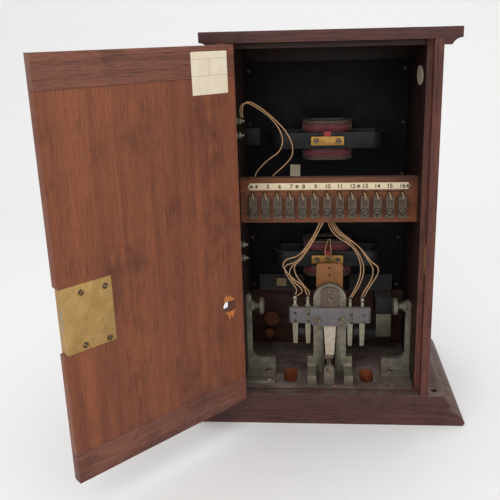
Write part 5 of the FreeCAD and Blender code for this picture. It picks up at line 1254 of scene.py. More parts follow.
def heads(name: str, spots: Iterable[Head], finish: Finish, body: str, slot: str,
          *replaced: str, rivets: bool = False, height: float = 0.42) -> bpy.types.Object:
    """Make screw or rivet heads as one piece.

    Args:
        name: Name of the piece.
        spots: The heads.
        finish: Their finish.
        body: Body that they move with.
        slot: Material slot of the record.
        *replaced: CAD nodes that they stand for.
        rivets: Whether they are domed rivets.
        height: Height of a screw head as a share of its radius.

    Returns:
        The piece.
    """
    spots = list(spots)
    mesh = bpy.data.meshes.new(name)
    mesh.from_pydata([tuple(head.place) for head in spots], [], [])
    mesh.attributes.new("turn", "FLOAT_VECTOR", "POINT")
    mesh.attributes.new("size", "FLOAT", "POINT")
    turns, sizes = mesh.attributes["turn"].data, mesh.attributes["size"].data
    for index, head in enumerate(spots):
        aim = head.facing.normalized().to_track_quat("Z", "Y").to_matrix()
        aim = aim @ Matrix.Rotation(math.radians(head.spin), 3, "Z")
        turns[index].vector = aim.to_euler("XYZ")[:]
        sizes[index].value = head.radius / 1000
    values = {"Finish": finish.material()}
    if not rivets:
        # Screw slots get the near-black sheet of painted shade.
        values.update({"Head Height": height, "Slot Depth": min(0.3, 1.7 * height),
                       "Painted Slot Shade": Looks.SLOT_PAINTED_SHADE.material()})
    tree = Repeat.shared(round_heads if rivets else slotted_heads)
    piece = Repeat.apply(linked(name, mesh), tree, values)
    return fitted(piece, None, body, slot, *replaced)


# Camera, stage and light.
def set_camera() -> None:
    """Place the camera of the photograph."""
    focal, centre_x, centre_y = 645.23, 270.27, 210.25
    tilt, pan, roll = 0.2708, -0.0713, 0.0248
    place = Vector((-0.01565, -0.78514, 0.45645))
    forward = Vector((math.sin(pan) * math.cos(tilt), math.cos(pan) * math.cos(tilt),
                      -math.sin(tilt)))
    across = Vector((math.cos(pan), -math.sin(pan), 0.0))
    down = forward.cross(across)
    right = across * math.cos(roll) + down * math.sin(roll)
    below = -across * math.sin(roll) + down * math.cos(roll)
    lens = bpy.data.cameras.new("camera")
    lens.sensor_width = 36.0
    lens.lens = focal / 500 * 36
    lens.shift_x = (250 - centre_x) / 500
    lens.shift_y = (centre_y - 250) / 500
    lens.clip_start = 0.01
    camera = linked("camera", lens)
    matrix = Matrix((right, -below, -forward)).transposed().to_4x4()
    matrix.translation = place
    camera.matrix_world = matrix
    bpy.context.scene.camera = camera


def set_stage() -> None:
    """Lay the pale table and set the even white background."""
    bend = [(0.75 + 0.5 * math.sin(a), 0.5 - 0.5 * math.cos(a))
            for a in (math.pi / 2 * step / 24 for step in range(25))]
    outline = [(-1.4, 0.0), *bend, (1.25, 1.9), (1.27, 1.9), (1.27, -0.02), (-1.4, -0.02)]
    floor = mesh_of("table_top", prism(outline, -2.2, 2.2,
                                       lambda x, y, z: Vector((x, y, z)), "x"))
    floor.data.materials.append(Looks.STAGE.material())
    world = bpy.data.worlds.new("plain_light")
    world.use_nodes = True
    world.node_tree.nodes.clear()
    w = Wiring(world.node_tree)
    rays = w.node("ShaderNodeLightPath")
    seen = rays.outputs["Is Camera Ray"]
    backdrop = w.node("ShaderNodeBackground", {"Color": srgb(238, 237, 237), "Strength": 1.0})
    light = w.node("ShaderNodeBackground", {"Color": (1.0, 1.0, 1.0, 1.0), "Strength": 0.86})
    mixed = w.node("ShaderNodeMixShader", {0: seen, 1: light.outputs[0], 2: backdrop.outputs[0]})
    w.node("ShaderNodeOutputWorld", {"Surface": mixed.outputs[0]})
    bpy.context.scene.world = world
    bpy.context.scene.view_settings.view_transform = "Standard"


def set_lamps() -> None:
    """Hang soft lamps above, behind and to the left of the camera."""
    for name, place, aim, size, power in (
            ("key_lamp", (-0.55, -1.25, 1.25), (0.0, 0.0, 0.22), 0.9, 6.0),
            ("fill_lamp", (0.9, -1.1, 0.75), (0.0, 0.0, 0.2), 0.9, 2.0),
            ("top_lamp", (0.1, 0.1, 1.7), (0.0, 0.1, 0.0), 1.2, 6.0)):
        lamp = bpy.data.lights.new(name, "AREA")
        lamp.shape = "SQUARE"
        lamp.size = size
        lamp.energy = power
        made = linked(name, lamp)
        made.location = place
        made.rotation_euler = (Vector(aim) - Vector(place)).to_track_quat("-Z", "Y").to_euler()


# Covered wires.
@dataclass(frozen=True)
class Wire:
    """One covered wire: its name, its route in metres and its length."""

    name: str
    route: tuple[Point, ...]
    length: float
    loose: bool = True


@dataclass
class Wires:
    """Free wires of the two compartments, each along its own route."""

    diameter: float = 0.0013

    def build(self, wires: Sequence[Wire], node: str, finish: Finish) -> None:
        """Make the wires of one CAD node.

        Args:
            wires: The wires.
            node: CAD node that they stand for.
            finish: Their finish.
        """
        for wire in wires:
            curve = bpy.data.curves.new(wire.name, "CURVE")
            curve.dimensions = "3D"
            curve.resolution_u = 10
            curve.bevel_depth = self.diameter / 2
            curve.bevel_resolution = 4
            curve.use_fill_caps = True
            spline = curve.splines.new("NURBS")
            spline.points.add(len(wire.route) - 1)
            for point, place in zip(spline.points, wire.route):
                point.co = (*place, 1.0)
            spline.order_u = 3
            spline.use_endpoint_u = True
            piece = fitted(linked(wire.name, curve), finish, "case", "covered_wire", node)


UPPER_WIRES = (
    Wire("wire_terminal_4", (
         (-0.096, -0.0775, 0.366), (-0.0985, -0.076, 0.376), (-0.091, -0.073, 0.3825),
         (-0.0785, -0.0685, 0.375), (-0.064, -0.065, 0.3635), (-0.0545, -0.0615, 0.35),
         (-0.0505, -0.0585, 0.336), (-0.0555, -0.0554, 0.3225), (-0.067, -0.05405, 0.315),
         (-0.077, -0.05405, 0.306), (-0.0855, -0.05405, 0.296), (-0.0865, -0.05405, 0.281)), 0.153),
    Wire("wire_terminal_5", (
         (-0.0938, -0.0805, 0.366), (-0.0955, -0.0795, 0.377), (-0.0885, -0.0755, 0.384),
         (-0.075, -0.071, 0.376), (-0.0605, -0.067, 0.3625), (-0.0485, -0.063, 0.3495),
         (-0.0405, -0.0595, 0.334), (-0.04, -0.0557, 0.319), (-0.048, -0.05405, 0.3085),
         (-0.0585, -0.05405, 0.2995), (-0.0675, -0.05405, 0.291), (-0.0715, -0.05405, 0.279)), 0.159),
)
LOWER_WIRES = (
    Wire("wire_left_1", (
         (-0.0082, -0.05405, 0.2472), (-0.01, -0.0532, 0.238), (-0.0145, -0.0605, 0.2285),
         (-0.019, -0.064, 0.2215), (-0.029, -0.0658, 0.206), (-0.0375, -0.0658, 0.1988),
         (-0.0495, -0.0658, 0.1963), (-0.0545, -0.0658, 0.189), (-0.051, -0.0656, 0.182),
         (-0.042, -0.0652, 0.1705), (-0.033, -0.064, 0.1645), (-0.027, -0.0617, 0.1565),
         (-0.0255, -0.05835, 0.1457)), 0.135),
    Wire("wire_left_2", (
         (-0.0065, -0.05405, 0.2472), (-0.0086, -0.0528, 0.237), (-0.0155, -0.0564, 0.2255),
         (-0.021, -0.059, 0.2165), (-0.032, -0.0624, 0.1975), (-0.04, -0.0624, 0.1905),
         (-0.0505, -0.0624, 0.1875), (-0.0525, -0.0624, 0.181), (-0.047, -0.0624, 0.1705),
         (-0.041, -0.0622, 0.1615), (-0.0365, -0.0614, 0.154), (-0.041, -0.05835, 0.1457)), 0.125),
    Wire("wire_left_3", (
         (-0.0048, -0.05405, 0.2472), (-0.0066, -0.0532, 0.2376), (-0.0124, -0.061, 0.2265),
         (-0.0215, -0.0654, 0.2115), (-0.0328, -0.0675, 0.1955), (-0.04, -0.0675, 0.189),
         (-0.0402, -0.0675, 0.182), (-0.036, -0.0675, 0.172), (-0.027, -0.0665, 0.1605),
         (-0.0216, -0.0628, 0.1528), (-0.0237, -0.05835, 0.1457)), 0.122),
    Wire("wire_left_4", (
         (-0.0031, -0.05405, 0.2472), (-0.005, -0.0526, 0.2364), (-0.0146, -0.0586, 0.2246),
         (-0.024, -0.063, 0.2095), (-0.031, -0.0641, 0.1965), (-0.042, -0.0641, 0.189),
         (-0.047, -0.0637, 0.1785), (-0.043, -0.0636, 0.1675), (-0.0335, -0.0641, 0.1605),
         (-0.0295, -0.063, 0.1525), (-0.0392, -0.05835, 0.1457)), 0.127),
    Wire("wire_right_1", (
         (-0.0012, -0.05405, 0.2472), (-0.0006, -0.0532, 0.2382), (0.0036, -0.0598, 0.2295),
         (0.012, -0.0638, 0.2215), (0.022, -0.0658, 0.2165), (0.031, -0.0658, 0.208),
         (0.0365, -0.0658, 0.1965), (0.0388, -0.0658, 0.182), (0.036, -0.065, 0.168),
         (0.0305, -0.0628, 0.154), (0.0256, -0.05835, 0.1428)), 0.126),
    Wire("wire_right_2", (
         (0.0006, -0.05405, 0.2472), (0.0016, -0.0528, 0.2376), (0.008, -0.0576, 0.2275),
         (0.0175, -0.0612, 0.221), (0.0285, -0.0624, 0.2133), (0.037, -0.0624, 0.2005),
         (0.0423, -0.0624, 0.186), (0.0415, -0.0624, 0.1745), (0.037, -0.062, 0.161),
         (0.0315, -0.0604, 0.1505), (0.0274, -0.05835, 0.1428)), 0.125),
    Wire("wire_right_3", (
         (0.0025, -0.05405, 0.2472), (0.0036, -0.0532, 0.2382), (0.01, -0.0604, 0.229),
         (0.0205, -0.0654, 0.222), (0.032, -0.0675, 0.2155), (0.0418, -0.0675, 0.205),
         (0.0495, -0.0675, 0.1935), (0.0585, -0.0675, 0.1875), (0.0588, -0.0675, 0.1785),
         (0.052, -0.0662, 0.1665), (0.0453, -0.062, 0.153), (0.042, -0.05835, 0.1428)), 0.136),
    Wire("wire_right_4", (
         (0.0044, -0.05405, 0.2472), (0.006, -0.0528, 0.2374), (0.014, -0.0574, 0.227),
         (0.0255, -0.0618, 0.219), (0.0375, -0.0641, 0.2095), (0.046, -0.0641, 0.195),
         (0.053, -0.0641, 0.185), (0.0525, -0.0641, 0.173), (0.0465, -0.0637, 0.1605),
         (0.041, -0.0614, 0.151), (0.0402, -0.05835, 0.1428)), 0.128),
    Wire("wire_coil_left", (
         (-0.0026, -0.02, 0.1816), (-0.0034, -0.0208, 0.1905), (-0.0012, -0.0194, 0.199),
         (0.0016, -0.0155, 0.2045)), 0.025, loose=False),
    Wire("wire_coil_right", (
         (0.0041, -0.02, 0.1816), (0.0046, -0.0208, 0.191), (0.0036, -0.0192, 0.1993),
         (0.0036, -0.0155, 0.2045)), 0.024, loose=False),
)


# Woodwork.
@dataclass
class Woodwork:
    """Case, boards and door: the CAD forms with rounded, worn edges, and a darker copy of the case
    wood on the case's inner faces as painted shade.
    """

    case_rounding: float = 0.8
    board_rounding: float = 0.5
    inner_face: float = 0.1015
    outlet_x: float = 46.9
    outlet_y: float = 43.6
    outlet_radius: float = 8.28
    outlet_reach: float = 8.5
    lining_thickness: float = 0.33
    lining_low: float = 12.0
    lining_high: float = 39.9
    outlet_steps: int = 36
    plug_face: float = 121.6

    def build(self) -> None:
        """Stand the wooden pieces."""
        # The top rail takes the darker copy of the case wood: painted shade.
        for node, finish in (("base_board", Looks.BASE), ("cornice", Looks.CASE_ACROSS),
                             ("top_rail", Looks.RAIL_PAINTED_SHADE)):
            softened(node, self.case_rounding, finish)
        # Faces of the front and dial boards that look to the rear take the darker copy of the case
        # wood: painted shade inside the case.
        for node in ("front_board", "dial_board"):
            softened(node, self.case_rounding, Looks.CASE, Looks.CASE_INSIDE_PAINTED_SHADE,
                     lambda centre, normal: normal.y < -0.5)
        # Inner faces of the sides take the same darker copy: painted shade inside the case.
        for node, side in (("left_side", -1.0), ("right_side", 1.0)):
            softened(node, self.case_rounding, Looks.CASE, Looks.CASE_INSIDE_PAINTED_SHADE,
                     lambda centre, normal, side=side:
                     centre.x * side < self.inner_face and normal.x * side < -0.5)
        for node, finish in (("floor_board", Looks.FLOOR), ("lower_board", Looks.LOWER_BOARD),
                             ("terminal_board", Looks.BOARD),
                             ("door_clamps", Looks.DOOR_ENDS)):
            softened(node, self.board_rounding, finish)
        self.tear(softened("door_panel", self.board_rounding, Looks.DOOR))

    def dress(self) -> None:
        """Add wood plugs, cable outlet linings and crumbs."""
        for x, z, radius in ((-74.5, 80.6, 10.0), (-78.2, 58.5, 6.5)):
            plug = turned([(0, -0.5), (radius, -0.5), (radius, 0.25), (radius - 0.4, 0.45),
                           (0, 0.5)], case_point(x, self.plug_face, z), REARWARD, 40)
            fitted(mesh_of(f"wood_plug_{int(-x)}", plug), Looks.PLUG, "case", "board_wood")
        for side in (-1, 1):
            self.outlet(self.outlet_x * side)
        chips = []
        for index, (x, y, z, size) in enumerate(((7.5, 14.6, 42.2, 1.6), (9.3, 14.9, 42.0, 0.9),
                                                 (-30.0, 27.0, 41.6, 0.5), (33.5, 18.0, 41.6, 0.6),
                                                 (61.0, 24.0, 41.6, 0.5), (-60.0, 21.0, 41.6, 0.5))):
            chips.append(lump(case_point(x, y, z), Vector((size, size * 0.6, 0.45)) / 1000,
                              1.7 * index, 0.5))
        fitted(mesh_of("wood_crumbs", *chips), Looks.RAW_WOOD, "case", "board_wood")

    @staticmethod
    def tear(panel: bpy.types.Object) -> None:
        """Widen the door's hole to its torn outline.

        Args:
            panel: The dressed door panel.
        """
        outline = [(11.5, 162.0), (12.6, 158.6), (17.0, 157.4), (24.2, 157.8), (28.2, 161.2),
                   (28.9, 166.3), (26.4, 170.6), (21.0, 171.5), (14.6, 170.9), (11.8, 167.4)]
        cutter = linked("hole_cutter", bpy.data.meshes.new("hole_cutter"))
        shape = prism(outline, -2.0, 16.0, door_point)
        shape.to_mesh(cutter.data)
        shape.free()
        cut = panel.modifiers.new("tear", "BOOLEAN")
        cut.operation = "DIFFERENCE"
        cut.solver = "EXACT"
        cut.object = cutter
        settle(panel)
        bpy.data.objects.remove(cutter)

    def outlet(self, x: float) -> None:
        """Line a cable outlet with freshly cut wood.

        Args:
            x: Its middle.
        """
        count = self.outlet_steps
        outer, inner = self.outlet_radius, self.outlet_radius - self.lining_thickness

        def oval(radius: float) -> list[tuple[float, float]]:
            """Outline of the outlet."""
            turns = [2 * math.pi * step / count for step in range(count)]
            return [(x + radius * math.cos(a), self.outlet_y + radius * math.sin(a)
                     + math.copysign(self.outlet_reach, math.sin(a))) for a in turns]

        ring = bmesh.new()
        levels = [[ring.verts.new(case_point(px, py, z)) for px, py in oval(radius)]
                  for radius, z in ((outer, self.lining_low), (outer, self.lining_high),
                                    (inner, self.lining_high), (inner, self.lining_low))]
        for low, high in zip(levels, levels[1:] + levels[:1]):
            for step in range(count):
                after = (step + 1) % count
                ring.faces.new([low[step], low[after], high[after], high[step]])
        side = "left" if x < 0 else "right"
        fitted(mesh_of(f"{side}_outlet_lining", ring), Looks.CUT_WOOD, "case", "board_wood")


@dataclass
class DoorFittings:
    """Cut lock, hinges, label and the torn hole of the door."""

    plate_out: float = 14.0
    screw_radius: float = 3.3

    def build(self) -> None:
        """Stand the lock and the hinges."""
        softened("lock_case", 0.35, Looks.LOCK_BRASS)
        softened("lock_bolt", 0.4, Looks.STEEL)
        softened("strike_plate", 0.2, Looks.LOCK_BRASS)
        softened("hinge_case_leaves", 0.25, Looks.DARK_SCREW)
        softened("hinge_door_leaves", 0.25, Looks.DARK_SCREW)

    def dress(self) -> None:
        """Add screws, rivets, the paper label and the splintered edge of the hole."""
        facing = door_point(0, 1, 0) - door_point(0, 0, 0)
        spots = [Head(door_point(u, self.plate_out - 0.2, z), facing, spin, self.screw_radius)
                 for u, z, spin in ((190.7, 232.2, 40), (166.3, 231.8, -20), (191.2, 180.0, -35),
                                    (166.5, 179.0, 80))]
        heads("lock_screws", spots, Looks.DARK_SCREW, "door", "brass", height=0.16)
        rivets = [Head(door_point(u, self.plate_out - 0.1, z), facing, 0, radius)
                  for u, z, radius in ((186.3, 212.4, 2.0), (174.7, 199.4, 2.2),
                                       (171.7, 191.5, 1.2), (178.2, 190.4, 1.3),
                                       (198.9, 222.7, 1.4))]
        heads("lock_rivets", rivets, Looks.LOCK_BRASS, "door", "brass", rivets=True)
        self.label()
        self.hole()

    def label(self) -> None:
        """Glue the ruled paper label on."""
        left, right, low, high = 10.0, 54.7, 397.0, 439.0
        width, tall = right - left, high - low
        outline = [(left + 0.8, low), (right - 0.4, low + 0.3), (right, high - 0.9),
                   (right - 1.3, high), (left + 0.3, high - 0.2), (left, low + 1.1)]
        paper = prism(outline, self.plate_out - 0.05, self.plate_out + 0.14, door_point)
        fitted(mesh_of("door_label", paper), Looks.PAPER, "door", "ivory")
        lines = []
        for share in (0.17, 0.56):
            z = high - share * tall
            lines.append(prism([(left + 0.6, z), (right - 0.6, z - 0.1), (right - 0.6, z + 0.2),
                                (left + 0.6, z + 0.3)], self.plate_out + 0.1,
                               self.plate_out + 0.18, door_point))
        x = left + 0.5 * width
        lines.append(prism([(x, high - 0.56 * tall), (x + 0.3, high - 0.56 * tall),
                            (x + 0.3, high - 0.17 * tall), (x, high - 0.17 * tall)],
                           self.plate_out + 0.1, self.plate_out + 0.18, door_point))
        fitted(mesh_of("label_rules", *lines), Looks.RULES, "door", "ivory")

    def hole(self) -> None:
        """Leave fresh torn wood above and below the hole."""
        above = [(13.0, 170.8), (16.5, 170.6), (21.0, 171.0), (26.6, 170.0), (27.2, 174.0),
                 (25.0, 179.2), (22.0, 175.5), (19.5, 177.5), (16.8, 174.2)]
        below = [(12.2, 158.8), (16.0, 149.8), (18.3, 153.2), (20.6, 148.6), (22.8, 154.0),
                 (25.6, 158.2), (17.0, 158.0)]
        splinters = [prism(outline, self.plate_out - 0.5, self.plate_out + 0.12, door_point)
                     for outline in (above, below)]
        fitted(mesh_of("hole_splinters", *splinters), Looks.RAW_WOOD, "door", "door_wood")


@dataclass
class Panels:
    """Black panels with their screws, stickers, strips and wall terminals."""

    face: float = 131.6
    rib_count: int = 7
    rib_low: float = 121.0
    rib_pitch: float = 3.0
    rib_height: float = 2.3
    rib_face: float = 124.5
    rib_lean: float = 0.6
    rib_rear: float = 131.8

    def build(self) -> None:
        """Stand the panels, their screws and the wall terminals."""
        softened("upper_panel", 0.4, Looks.PANEL)
        softened("lower_panel", 0.4, Looks.PANEL)
        softened("panel_screws", 0.25, Looks.DARK_SCREW)
        softened("wall_terminals", 0.35, Looks.NICKEL)

    def dress(self) -> None:
        """Add the stickers, the backing strip and the ribbed strips."""
        for name, x0, x1, z0, z1, near, finish in (
                ("cream_sticker", -46.8, -33.7, 275.6, 291.0, self.face, Looks.PAPER),
                ("tan_sticker", -67.2, -53.9, 127.1, 138.2, self.rib_face, Looks.TAN_PAPER)):
            outline = [(x0, z0 + 0.3), (x1 - 0.3, z0), (x1, z1 - 0.4), (x0 + 0.4, z1)]
            paper = prism(outline, near - 0.4, near + 0.1, case_point)
            fitted(mesh_of(name, paper), finish, "case", "ivory")
        strip = block((-102.9, 126.6, 317.4), (-84.0, 131.7, 339.3), case_point, 0.6)
        fitted(mesh_of("backing_strip", strip), Looks.BLACK, "case", "black_ebonite")
        plate = prism([(50.0 + 19.0 * math.cos(a), 406.0 + 10.5 * math.sin(a))
                       for a in (2 * math.pi * k / 40 for k in range(40))], 100.2, 101.1,
                      case_point, "x")
        fitted(mesh_of("oval_plate", plate), Looks.IVORY_PLATE, "case", "ivory")
        ribs = []
        for start, end in ((-90.0, -31.0), (30.0, 86.0)):
            for step in range(self.rib_count):
                z = self.rib_low + self.rib_pitch * step
                ribs.append(block((start, self.rib_face + self.rib_lean * step, z),
                                  (end, self.rib_rear, z + self.rib_height), case_point, 0.4))
        fitted(mesh_of("ribbed_strips", *ribs), Looks.RIBBED, "case", "fibre")


# Coils.
@dataclass
class Coils:
    """Ring magnets, bobbins and their crimson windings, one set for each indicator."""

    wire: float = 0.34
    points: int = 44

    def build(self) -> None:
        """Stand the magnets, bobbins, bearing bars and arbors, and wind the coils."""
        softened("magnets", 0.7, Looks.IRON)
        softened("bobbins", 0.4, Looks.BOBBIN)
        softened("bearing_bars", 0.5, Looks.DARK_BRASS)
        for node in ("upper_arbor", "lower_arbor"):
            softened(node, 0.2, Looks.STEEL)
        for axis, label in ((UPPER_AXIS, "upper"), (LOWER_AXIS, "lower")):
            self.wind(axis, label)

    def wind(self, axis: float, label: str) -> None:
        """Wind one coil in two layers over a filled middle.

        Args:
            axis: Height of its arbor.
            label: Word for its names.
        """
        curve = bpy.data.curves.new(f"{label}_winding_path", "CURVE")
        curve.dimensions = "3D"
        solids = []
        for side in (-1, 1):
            for radius, low, high in ((12.7, 4.9, 20.5), (15.4, 10.9, 20.5)):
                self.turns(curve, axis, side, radius, low, high)
                solids.append(prism(self.oval(radius - 0.15), axis + side * (low - 0.2),
                                    axis + side * (high + 0.2), case_point, "z"))
        tree = Repeat.shared(wound_wire)
        piece = Repeat.apply(linked(f"{label}_winding", curve), tree, {
            "Wire Radius": self.wire / 1000, "Sides": 5, "Finish": Looks.SILK.material()})
        fitted(piece, None, "case", "covered_wire", "windings")
        fitted(mesh_of(f"{label}_winding_middle", *solids), Looks.SILK, "case", "covered_wire",
               "windings")

    def oval(self, radius: float) -> list[tuple[float, float]]:
        """Outline of one turn.

        Args:
            radius: Radius of its round ends in millimetres.

        Returns:
            Its points, x and y in case millimetres.
        """
        middle = 105.5
        points = []
        for step in range(self.points):
            angle = 2 * math.pi * step / self.points
            x, y = radius * math.cos(angle), radius * math.sin(angle)
            points.append((x + math.copysign(14.0, x), middle + y))
        return points

    def turns(self, curve: bpy.types.Curve, axis: float, side: int, radius: float, low: float,
              high: float) -> None:
        """Add one layer of turns to a path.

        Args:
            curve: Path that takes them.
            axis: Height of the arbor.
            side: 1 above the arbor, -1 below it.
            radius: Radius of the round ends.
            low: Start from the arbor.
            high: End from the arbor.
        """
        outline = self.oval(radius)
        count = int((high - low) / (2 * self.wire * 1.04))
        spline = curve.splines.new("POLY")
        spline.points.add(count * self.points - 1)
        for index in range(count * self.points):
            x, y = outline[index % self.points]
            z = axis + side * (low + (high - low) * index / (count * self.points))
            spline.points[index].co = (*case_point(x, y, z), 1.0)

    def dress(self) -> None:
        """Add tape, bar screws, red tabs and solder."""
        for axis, label in ((UPPER_AXIS, "upper"), (LOWER_AXIS, "lower")):
            bands = [prism([(x + dx, y) for x, y in self.oval(15.95)], axis + low, axis + high,
                           case_point, "z")
                     for dx, low, high in ((0.0, 13.6, 18.3), (0.0, -17.9, -14.2))]
            fitted(mesh_of(f"{label}_tape", *bands), Looks.TAPE, "case", "cloth")
            spots = [Head(case_point(x, 84.9, axis + tilt), REARWARD, spin, 3.4)
                     for x, tilt, spin in ((-13.3, 0.2, 8), (13.3, -0.2, -6))]
            heads(f"{label}_bar_screws", spots, Looks.SCREW, "case", "brass", height=0.24)
            tab = block((-4.3, 86.6, axis + 3.5), (4.3, 87.6, axis + 11.0), case_point, 0.2)
            fitted(mesh_of(f"{label}_red_tab", tab), Looks.RED_TAB, "case", "cloth")
        balls = [lump(case_point(x, 82.4, z), Vector((0.0021, 0.0019, 0.0021)), x, 0.12)
                 for x, z in ((0.2, 180.7), (4.5, 181.0))]
        fitted(mesh_of("coil_solder", *balls), Looks.SOLDER, "case", "steel")


@dataclass
class TerminalStrip:
    """Numbered strip and the thirteen clamp terminals under it."""

    first: int = 4
    digit_height: float = 4.7
    spins: tuple[int, ...] = (-45, 45, -50, -45, 50, -70, -8, -15, -45, 40, 2, -30, 40)
    digits: tuple[float, ...] = (-82.4, -69.0, -55.6, -42.2, -28.1, -14.4, -0.7, 13.5, 27.5,
                                 41.7, 55.4, 69.5, 83.6)

    def build(self) -> None:
        """Stand the strip and the terminals."""
        softened("number_strip", 0.18, Looks.IVORY)
        softened("terminal_blocks", 0.5, Looks.TERMINAL)
        spots = [Head(case_point(x, 38.1, 284.2), REARWARD, spin, 2.0)
                 for x, spin in ((-88.3, 15), (-35.7, 80), (34.4, 40), (89.8, 120))]
        heads("strip_screw_heads", spots, Looks.SCREW, "case", "brass", "strip_screws", height=0.4)
        centres = [-1.2 + (index - 6) * 14.2 for index in range(13)]
        clamps = [Head(case_point(x, 32.4, 255.6), REARWARD, spin, 3.6)
                  for x, spin in zip(centres, self.spins)]
        heads("clamp_screw_heads", clamps, Looks.TERMINAL, "case", "brass", "terminal_screws",
              height=0.16)
        wires = [Head(case_point(x, 34.0, 266.9), REARWARD, spin + 60, 2.1)
                 for x, spin in zip(centres, self.spins)]
        heads("wire_screw_heads", wires, Looks.TERMINAL, "case", "brass", "terminal_screws",
              height=0.42)
        rings = [turned([(3.7, 0.0), (4.45, 0.0), (4.5, 0.25), (4.2, 0.5), (3.8, 0.5), (3.7, 0.2),
                         (3.7, 0.0)], case_point(x, 32.45, 255.6), REARWARD, 32) for x in centres]
        fitted(mesh_of("clamp_rings", *rings), Looks.RING, "case", "black_ebonite")
        self.tails(centres)

    def tails(self, centres: Sequence[float]) -> None:
        """Bend a tinned tail from each hole into its terminal.

        Args:
            centres: Middles of the terminals.
        """
        curve = bpy.data.curves.new("tail_paths", "CURVE")
        curve.dimensions = "3D"
        curve.resolution_u = 10
        for index, x in enumerate(centres):
            drift = 0.5 * math.sin(2.3 * index)
            route = ((x - 1.2, 44.5, 276.6), (x - 1.2, 36.5, 276.6), (x + 0.2 + drift, 33.1, 274.8),
                     (x + 1.1, 33.3, 269.4))
            spline = curve.splines.new("NURBS")
            spline.points.add(len(route) - 1)
            for point, place in zip(spline.points, route):
                point.co = (*case_point(*place), 1.0)
            spline.order_u = 3
            spline.use_endpoint_u = True
        piece = Repeat.apply(linked("terminal_wires", curve), Repeat.shared(wound_wire), {
            "Wire Radius": 0.00062, "Sides": 10, "Finish": Looks.TAIL.material()})
        fitted(piece, None, "case", "covered_wire", "terminal_tails")

    def dress(self) -> None:
        """Engrave the numbers and ring each tail's hole in the board with a near-black rim: painted
        shade of the holes.
        """
        shapes = []
        for index, x in enumerate(self.digits):
            text = bpy.data.curves.new("digit", "FONT")
            text.body = str(self.first + index)
            text.size = self.digit_height / 1000 * 1.42
            text.extrude = 0.0001
            text.align_x = "CENTER"
            text.align_y = "CENTER"
            text.resolution_u = 4
            text.offset = 0.00011
            made = linked("digit", text)
            bpy.context.view_layer.update()
            flat = bpy.data.meshes.new_from_object(
                made.evaluated_get(bpy.context.evaluated_depsgraph_get()))
            bpy.data.objects.remove(made)
            flat.transform(Matrix.Translation(case_point(x, 37.95, 284.1))
                           @ Matrix.Rotation(math.pi / 2, 4, "X"))
            shape = bmesh.new()
            shape.from_mesh(flat)
            shapes.append(shape)
        fitted(mesh_of("strip_numbers", *shapes), Looks.INK_AND_HOLE_SHADE, "case", "ivory")
        centres = [-1.2 + (index - 6) * 14.2 for index in range(13)]
        # Near-black rims round the holes: painted shade of the holes.
        hole_shades = [turned([(1.15, 0), (2.0, 0), (1.9, 0.3), (1.2, 0.2), (1.15, 0)],
                        case_point(x - 1.2, 39.05, 276.6), REARWARD, 20) for x in centres]
        fitted(mesh_of("hole_shade_rims", *hole_shades), Looks.INK_AND_HOLE_SHADE, "case", "board_wood")


@dataclass
class CommutatorGear:
    """Arch, insulating bar with its springs, cross arm, leaf, lugs, brackets and stop screws."""

    bar_face: float = 36.0
    feet: tuple[tuple[float, float, float], ...] = (
        (-72.7, 24.5, 25), (-74.7, 45.0, -40), (75.7, 46.0, 70))

    def build(self) -> None:
        """Stand the pieces of the commutator."""
        for node, rounding, finish in (
                ("commutator_frame", 0.6, Looks.NICKEL), ("centre_lug", 0.6, Looks.LUG),
                ("fibre_block", 0.5, Looks.FIBRE), ("barrier_plate", 0.3, Looks.PHENOLIC),
                ("insulating_bar", 0.35, Looks.EBONITE), ("contact_springs", 0.15, Looks.SPRING),
                ("cross_arm", 0.5, Looks.BLACK), ("friction_leaf", 0.15, Looks.LEAF),
                ("leaf_pin", 0.3, Looks.FIBRE), ("left_bracket", 0.6, Looks.LUG),
                ("right_bracket", 0.6, Looks.LUG), ("stop_screws", 0.35, Looks.NICKEL),
                ("commutator_shaft", 0.25, Looks.STEEL)):
            softened(node, rounding, finish)

    def dress(self) -> None:
        """Add screws, rivets, bar strips, solder and dark flux."""
        rivets = [Head(case_point(x, self.bar_face - 0.7, z), REARWARD, 0, 1.7)
                  for x, z in ((-39.5, 128.0), (-39.5, 118.0), (-23.2, 127.2), (-23.2, 117.6),
                               (28.0, 125.8), (28.0, 115.3), (43.0, 125.2), (43.0, 116.2))]
        heads("bar_rivets", rivets, Looks.RIVET, "case", "brass", rivets=True)
        screws = [Head(case_point(x, 35.6, 118.6), REARWARD, spin, 4.6)
                  for x, spin in ((-13.1, 62), (16.9, -32))]
        screws += [Head(case_point(1.9, 39.6, z), REARWARD, spin, 3.4)
                   for z, spin in ((156.0, 4), (143.4, 55))]
        screws.append(Head(case_point(0.7, 17.9, 60.8), REARWARD, -48, 4.0))
        screws += [Head(case_point(x, y, 45.4), UPWARD, spin, 4.2) for x, y, spin in self.feet]
        heads("frame_screw_heads", screws, Looks.SCREW, "case", "brass", "frame_screws",
              height=0.3)
        strips = [block((x0, 35.3, 114.2), (x1, 36.2, 133.4), case_point, 0.25)
                  for x0, x1 in ((-26.2, -21.4), (25.3, 29.8))]
        fitted(mesh_of("bar_strips", *strips), Looks.LUG, "case", "nickel")
        blobs = [lump(case_point(x, 44.2, z), Vector((0.0022, 0.0013, 0.0019)), x, 0.35)
                 for x, z in ((-40.1, 144.6), (-24.6, 144.4), (26.5, 141.6), (41.1, 141.8))]
        fitted(mesh_of("tag_solder", *blobs), Looks.SOLDER, "case", "steel")
        flux = [lump(case_point(x, 44.4, z), Vector((0.0027, 0.0012, 0.0016)), x + 2, 0.5)
                for x, z in ((-40.0, 147.6), (-24.8, 147.4), (26.6, 144.3), (41.0, 144.6))]
        fitted(mesh_of("tag_flux", *flux), Looks.GUNK, "case", "fibre")


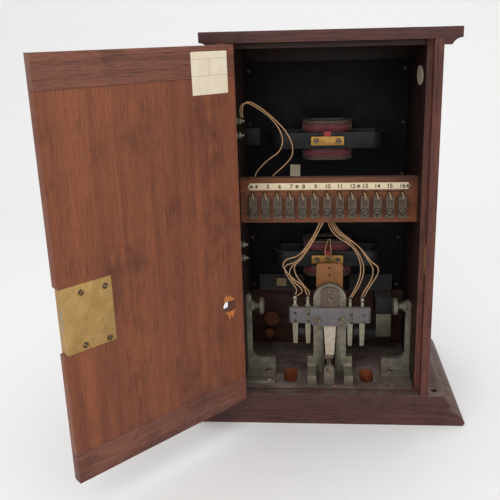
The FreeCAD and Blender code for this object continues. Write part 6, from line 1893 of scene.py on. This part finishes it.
@dataclass
class BellKey:
    """Key block with its blade, back contact, plunger and bush."""

    def build(self) -> None:
        """Stand the pieces of the bell key."""
        for node, rounding, finish in (
                ("key_block", 0.8, Looks.BLACK), ("contact_blade", 0.15, Looks.NICKEL),
                ("back_contact", 0.4, Looks.BLACK), ("plunger", 0.4, Looks.BLACK),
                ("plunger_bush", 0.4, Looks.BRASS)):
            softened(node, rounding, finish)


@dataclass
class FrontFittings:
    """Dials, glasses, bezels and the commutator handle on the front."""

    sector: float = 40.0

    def build(self) -> None:
        """Stand the pieces of the front."""
        for node, rounding, finish in (
                ("bezels", 0.6, Looks.BRASS), ("handle", 0.8, Looks.BRASS),
                ("handle_plate", 0.4, Looks.BRASS), ("upper_pointer", 0.15, Looks.BLACK),
                ("lower_pointer", 0.15, Looks.BLACK)):
            softened(node, rounding, finish)
        refinish("dial_cards", Looks.CARD)
        refinish("glasses", Looks.GLASS)

    def dress(self) -> None:
        """Colour the sectors of the dials."""
        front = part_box("dial_cards")[1].y * 1000 - REAR_PLANE
        for axis, label in ((UPPER_AXIS, "upper"), (LOWER_AXIS, "lower")):
            for start, end, finish, word in ((95, 140, Looks.SIGNAL_GREEN, "green"),
                                             (40, 85, Looks.SIGNAL_RED, "red")):
                angles = [math.radians(start + (end - start) * k / 16) for k in range(17)]
                outline = [(44 * math.cos(a), axis + 44 * math.sin(a)) for a in angles]
                outline += [(26 * math.cos(a), axis + 26 * math.sin(a)) for a in reversed(angles)]
                sector = prism(outline, front - 0.02, front + 0.12, case_point)
                fitted(mesh_of(f"{label}_{word}_sector", sector), finish, "case", "ivory")


def main() -> None:
    """Build the instrument, its stage and its light."""
    logging.basicConfig(level=logging.INFO, format="%(name)s: %(message)s")
    set_camera()
    wires = Wires()
    wires.build(UPPER_WIRES, "upper_leads", Looks.WIRE)
    wires.build(LOWER_WIRES, "lower_leads", Looks.WIRE)
    for assembly in (Woodwork(), DoorFittings(), Panels(), Coils(), TerminalStrip(),
                     CommutatorGear(), FrontFittings()):
        log.info("assembly: %s", type(assembly).__name__)
        assembly.build()
        assembly.dress()
    BellKey().build()
    set_stage()
    set_lamps()


if __name__ == "__main__":
    main()
